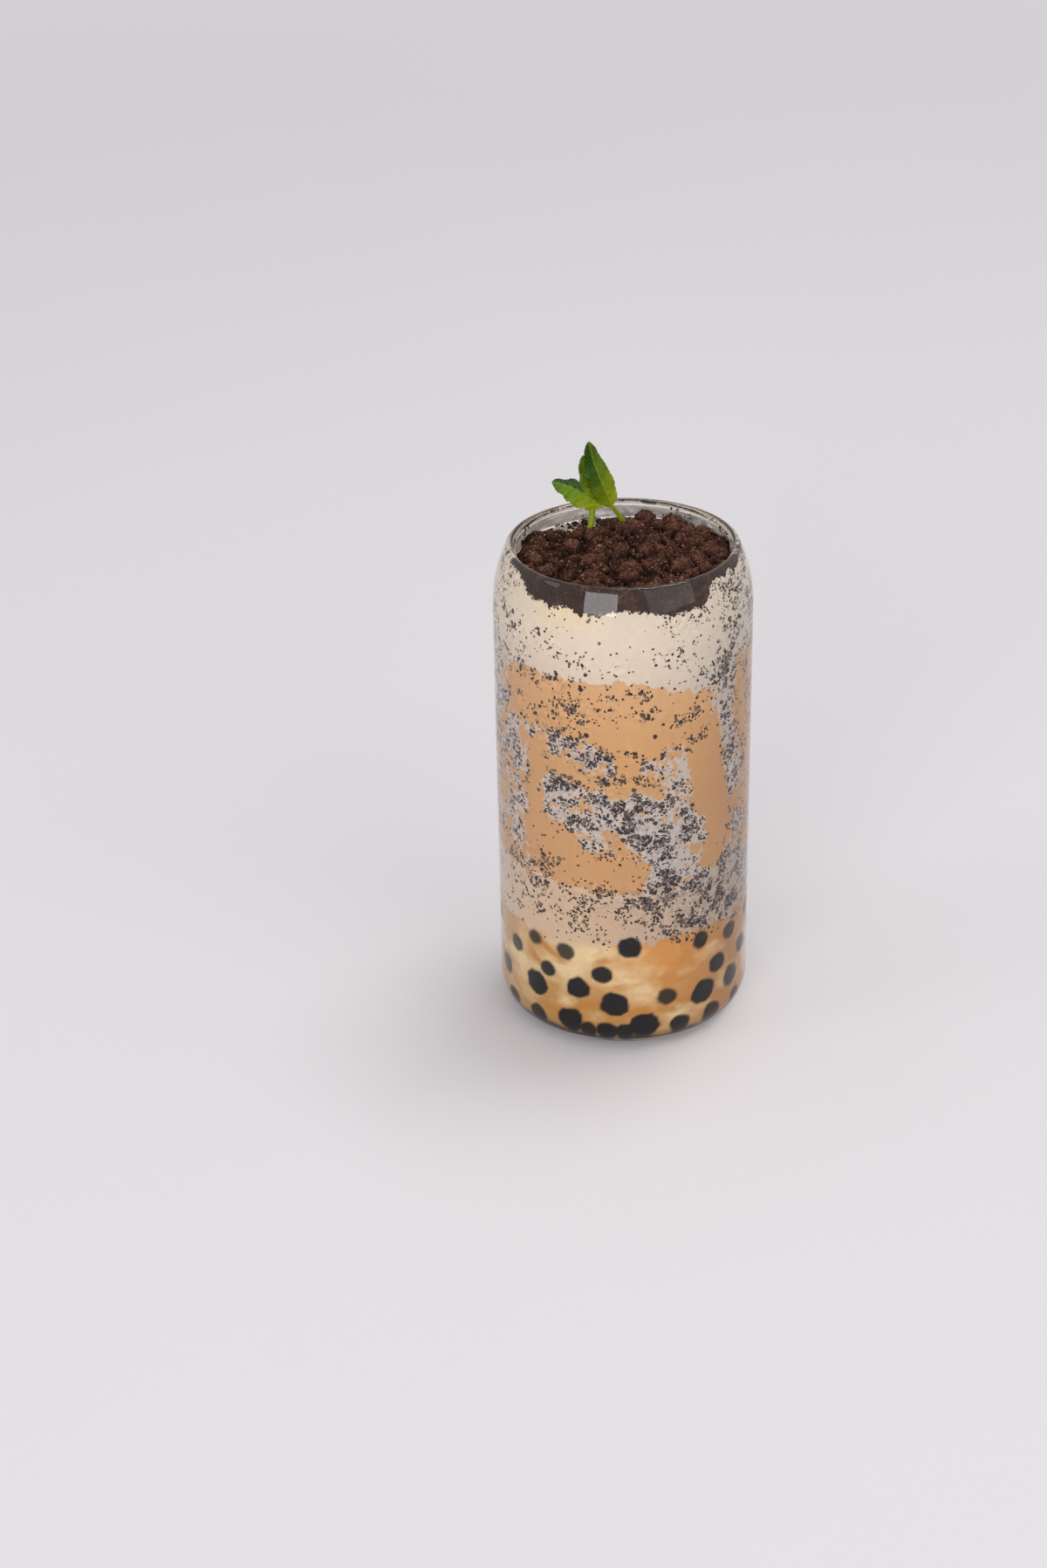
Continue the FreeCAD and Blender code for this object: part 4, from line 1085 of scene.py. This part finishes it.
def make_leaf(name, leaf, material, shade_left, shade_right):
    """A blade on a grid of rows along its curved midrib and columns across it. Its half-width is
    a skewed sine with rounded teeth. It folds up along the midrib, and swells between
    side veins that leave the midrib at an angle. A second skin under it closes it."""
    base, bend, tip = (np.array(leaf[k]) + [0, 0, CRUMB_LEVEL] for k in ("base", "bend", "tip"))
    t = np.linspace(0.004, 0.996, LEAF_ROWS)[:, None]
    s = np.linspace(-1, 1, LEAF_COLUMNS)[None]
    middle = base * (1 - t) ** 2 + bend * (2 * t * (1 - t)) + tip * t**2
    ahead = (bend - base) * (1 - t) + (tip - bend) * t
    length = np.linalg.norm(ahead, axis=1, keepdims=True)
    ahead = ahead / length
    side = np.cross(np.array(leaf["upper"]), ahead)
    side /= np.linalg.norm(side, axis=1, keepdims=True)
    up = np.cross(ahead, side)
    power = math.log(0.5) / math.log(leaf["widest"])
    half = leaf["width"] / 2 * np.sin(np.pi * t**power) ** 0.72
    half = half * (0.35 + 0.65 * soft_step(-0.03, 0.13, t))
    half = half * (0.9 + 0.25 * soft_step(0.75, 0.95, t))
    saw = (t * leaf["teeth"] + 0.18 * np.sin(t * 37)) % 1.0
    deep = 0.10 + 0.03 * np.sin(t * 23 + 2 * s)
    notch = deep * (1 - np.sin(np.pi * saw**0.7) ** 0.5) * soft_step(0.06, 0.2, t)
    reach = half * (1 - notch * np.abs(s) ** 5)
    fold = math.radians(leaf["fold"])
    total = float(np.sum(np.linalg.norm(np.diff(middle, axis=0), axis=1)))
    spacing = total / leaf["veins"]
    phase = (t * total - leaf["rise"] * np.abs(s) * half * (1 - 0.25 * np.abs(s))) / spacing
    near_vein = np.abs((phase + 0.5) % 1.0 - 0.5) * 2
    flat = np.stack([s * half, t * total + 0 * s, 0 * s * t], -1)
    swell = 0.30 * (near_vein**0.7 - 0.5) * np.sin(np.pi * np.clip(np.abs(s), 0, 1)) ** 0.6
    swell = swell + 0.6 * noise(flat, 1.2, 111, 3) * np.minimum(1, 3 * (1 - np.abs(s)))
    ripple = 0.45 * np.sin(t * 24 + 2.0 * np.sign(s)) * np.abs(s) ** 3
    ripple = ripple + 0.9 * noise(flat, 5.0, 113, 2)
    out = s * reach * math.cos(fold)
    lift = np.sign(fold) * reach * np.abs(s) ** 1.25 * abs(math.sin(fold)) + swell + ripple
    lift = lift + leaf["curl"] * soft_step(0.72, 1.05, t)
    centre = middle[:, None] + side[:, None] * out[..., None] + up[:, None] * lift[..., None]
    thick = LEAF_THICKNESS / 2 * (1 - 0.85 * np.abs(s) ** 4)
    thick = thick * np.sin(np.pi * np.clip(t, 0.03, 0.97)) ** 0.3
    rib = 0.28 * np.exp(-(s * half / 0.35) ** 2) * (1 - t) ** 0.5
    skin_up = centre + up[:, None] * thick[..., None]
    skin_down = centre - up[:, None] * (thick + rib)[..., None]
    rows, columns = LEAF_ROWS, LEAF_COLUMNS
    points = np.concatenate([skin_up.reshape(-1, 3), skin_down.reshape(-1, 3)])
    row, column = np.meshgrid(np.arange(rows - 1), np.arange(columns - 1), indexing="ij")
    corner = row * columns + column
    top = np.stack([corner, corner + columns, corner + columns + 1, corner + 1], -1).reshape(-1, 4)
    under = top[:, ::-1] + rows * columns
    rim = np.concatenate([
        np.arange(columns), np.arange(1, rows) * columns + columns - 1,
        (rows - 1) * columns + np.arange(columns - 2, -1, -1), np.arange(rows - 2, 0, -1) * columns,
    ])
    after = np.roll(rim, -1)
    edge = np.stack([rim, after, after + rows * columns, rim + rows * columns], 1)
    piece = make_piece(name, points, [top, under, edge], material)
    line = np.exp(-((near_vein * spacing / 2) / 0.16) ** 2) * (1 - 0.45 * np.abs(s))
    line = line + np.exp(-(s * half / 0.3) ** 2)
    vein = np.clip(0.38 * line, 0, 0.6)
    # painted light: the yellow of the base reaches further across the lighter half
    along = t + 0.12 * np.sign(shade_left - shade_right) * -s
    # painted shade: one half of the blade darker than the other, as light falls on its fold, and the
    # whole blade darker towards the tip
    shade = np.where(s < 0, shade_left, shade_right) + 0.75 * (t - 0.45)
    store(piece, vein=[vein, vein], along=[along, along], shade=[shade, shade])
    return piece


def make_stalk(name, path, radius, material):
    """A round stalk: rings across a smooth curve through four points, thinner towards the leaf."""
    points = np.array(path) + [0, 0, CRUMB_LEVEL]
    t = np.linspace(0, 1, 24)[:, None]
    weights = [(1 - t) ** 3, 3 * t * (1 - t) ** 2, 3 * t * t * (1 - t), t**3]
    line = sum(w * p for w, p in zip(weights, points))
    ahead = np.gradient(line, axis=0)
    ahead /= np.linalg.norm(ahead, axis=1, keepdims=True)
    side = np.cross(ahead, [0.0, 1.0, 0.0])
    side /= np.linalg.norm(side, axis=1, keepdims=True)
    other = np.cross(ahead, side)
    turn = np.linspace(0, 2 * np.pi, 16, endpoint=False)[None]
    wide = radius * (1.1 - 0.25 * t - 0.3 * t**6) * (1 + 0.05 * np.cos(4 * turn))
    ring = (line[:, None] + side[:, None] * (wide * np.cos(turn))[..., None]
            + other[:, None] * (wide * np.sin(turn))[..., None])
    rows, columns = ring.shape[:2]
    co = np.concatenate([ring.reshape(-1, 3), line[:1], line[-1:]])
    near = np.arange(columns)
    after = (near + 1) % columns
    last = (rows - 1) * columns
    caps = np.concatenate([
        np.stack([np.full(columns, rows * columns), after, near], 1),
        np.stack([np.full(columns, rows * columns + 1), last + near, last + after], 1),
    ])
    piece = make_piece(name, co, [ring_quads(rows, columns), caps], material)
    along = np.append(np.repeat(t[:, 0], columns), [0, 1])
    store(piece, vein=0.15 + 0 * along, along=0.25 * along, shade=0.1 + 0 * along)
    return piece


# Each leaf material has a light and a dark green, between which the painted shade moves it.
underside = mint_leaf("mint_leaf_underside", "#86a006", "#2a5205", 0.5)
upper_side = mint_leaf("mint_leaf_upper_side", "#7da00c", "#1c4a14", 0.3)
stalk_skin = mint_leaf("mint_stalk", "#90a414", "#6b8a14", 0.4)
# The last two numbers are the painted shade of each half: the tall leaf's left half and the side leaf's
# upper half are painted darker.
tall = make_leaf("tall_mint_leaf", MINT["tall"], underside, 0.55, 0.1)
side_leaf = make_leaf("side_mint_leaf", MINT["side"], upper_side, 0.55, -0.25)
make_leaf("small_mint_leaf", MINT["small"], underside, 0.0, 0.0)
make_stalk("mint_petiole", STALKS["tall"], 0.75, stalk_skin)
make_stalk("mint_stem", STALKS["side"], 0.9, stalk_skin)
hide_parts("mint_leaf")
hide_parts("mint_sprig")


# ------------------------------------------------------------------ floor, light and camera
# A plain pale table top under a ceiling panel, a window in front for the highlights, and a soft
# panel at each side. The backdrop is what is seen behind; a dimmer world gives the light.

BACKDROP = "#dcd9dc"
TABLE_HALF = 6.0
CAMERA_PLACE = Vector((0.0, -0.73298, 0.46347))
CAMERA_AIM = Vector((-0.02969, 0.0, 0.07076))
CAMERA_ROLL = math.radians(-1.19)
CAMERA_LENS = 64.08


def pale_floor():
    """A pale matt table top, very slightly mottled, that fades into the backdrop far away, where
    only what is seen changes and not the light that it gives."""
    material, tree, out = new_material("pale_table_top")
    place = add_node(tree, "ShaderNodeTexCoord").outputs["Object"]
    cloud = add_node(tree, "ShaderNodeTexNoise", Vector=place, Scale=3.0, Detail=2.0)
    tone = add_node(tree, "ShaderNodeMix", {"data_type": "RGBA"}, i0=cloud.outputs["Fac"],
                    i6=(*linear("#e8e4e7"), 1), i7=(*linear("#ece8eb"), 1))
    skin = add_node(tree, "ShaderNodeBsdfPrincipled", Base_Color=tone.outputs[2], Roughness=0.55,
                    Specular_IOR_Level=0.1)
    away = add_node(tree, "ShaderNodeVectorMath", {"operation": "LENGTH"}, i0=place)
    far = add_node(tree, "ShaderNodeMapRange", {"interpolation_type": "SMOOTHSTEP"},
                   Value=away.outputs["Value"], From_Min=0.5, From_Max=2.2)
    ray = add_node(tree, "ShaderNodeLightPath")
    seen = add_node(tree, "ShaderNodeMath", {"operation": "MULTIPLY"}, i0=far.outputs[0],
                    i1=ray.outputs["Is Camera Ray"])
    haze = add_node(tree, "ShaderNodeEmission", Color=(*linear(BACKDROP), 1), Strength=1.0)
    mix = add_node(tree, "ShaderNodeMixShader", i0=seen.outputs[0], i1=skin.outputs[0],
                   i2=haze.outputs[0])
    tree.links.new(mix.outputs[0], out.inputs["Surface"])
    return material


floor_mesh = bpy.data.meshes.new("table_top")
corners = [(TABLE_HALF * x, TABLE_HALF * y, 0) for x, y in ((-1, -1), (1, -1), (1, 1), (-1, 1))]
floor_mesh.from_pydata(corners, [], [(0, 1, 2, 3)])
floor_mesh.materials.append(pale_floor())
floor = bpy.data.objects.new("table_top", floor_mesh)
bpy.context.scene.collection.objects.link(floor)


def area_light(name, place, aim, wide, tall, radiance, code):
    """A rectangular lamp that faces a point. Its power is pi times its radiance times its area."""
    lamp = bpy.data.lights.new(name, "AREA")
    lamp.shape = "RECTANGLE"
    lamp.size, lamp.size_y = wide, tall
    lamp.energy = math.pi * radiance * wide * tall
    lamp.color = tuple(linear(code))
    light = bpy.data.objects.new(name, lamp)
    light.location = place
    light.rotation_euler = (Vector(aim) - Vector(place)).to_track_quat("-Z", "Y").to_euler()
    bpy.context.scene.collection.objects.link(light)
    return light


area_light("ceiling_panel", (0.45, 0.40, 1.9), (0, 0, 0.05), 0.8, 0.8, 5.6, "#fffdf8")
area_light("window", (-0.70, -1.93, 0.72), (0, 0, 0.12), 1.1, 0.66, 6.4, "#fcfdff")
area_light("right_panel", (1.35, -1.35, 1.05), (0, 0, 0.08), 1.7, 1.5, 1.0, "#fffefb")
area_light("left_panel", (-1.5, -0.5, 1.0), (0, 0, 0.08), 0.5, 0.8, 1.6, "#fdfdff")

world = bpy.data.worlds.new("studio")
bpy.context.scene.world = world
world.use_nodes = True
world.node_tree.nodes.clear()
world_out = world.node_tree.nodes.new("ShaderNodeOutputWorld")
path = add_node(world.node_tree, "ShaderNodeLightPath")
seen = add_node(world.node_tree, "ShaderNodeMath", {"operation": "MAXIMUM"},
                i0=path.outputs["Is Camera Ray"], i1=path.outputs["Is Glossy Ray"])
shown = add_node(world.node_tree, "ShaderNodeMath", {"operation": "MAXIMUM"},
                 i0=seen.outputs[0], i1=path.outputs["Is Transmission Ray"])
lighting = add_node(world.node_tree, "ShaderNodeBackground", Color=(*linear("#f6f8fc"), 1),
                    Strength=0.52)
backdrop = add_node(world.node_tree, "ShaderNodeBackground", Color=(*linear(BACKDROP), 1),
                    Strength=1.0)
both = add_node(world.node_tree, "ShaderNodeMixShader", i0=shown.outputs[0],
                i1=lighting.outputs[0], i2=backdrop.outputs[0])
world.node_tree.links.new(both.outputs[0], world_out.inputs["Surface"])

camera_data = bpy.data.cameras.new("camera")
camera_data.lens = CAMERA_LENS
camera = bpy.data.objects.new("camera", camera_data)
look = (CAMERA_AIM - CAMERA_PLACE).to_track_quat("-Z", "Y").to_matrix().to_4x4()
camera.matrix_world = Matrix.Translation(CAMERA_PLACE) @ look @ Matrix.Rotation(CAMERA_ROLL, 4, "Z")
bpy.context.scene.collection.objects.link(camera)
bpy.context.scene.camera = camera
bpy.context.scene.view_settings.view_transform = "Standard"
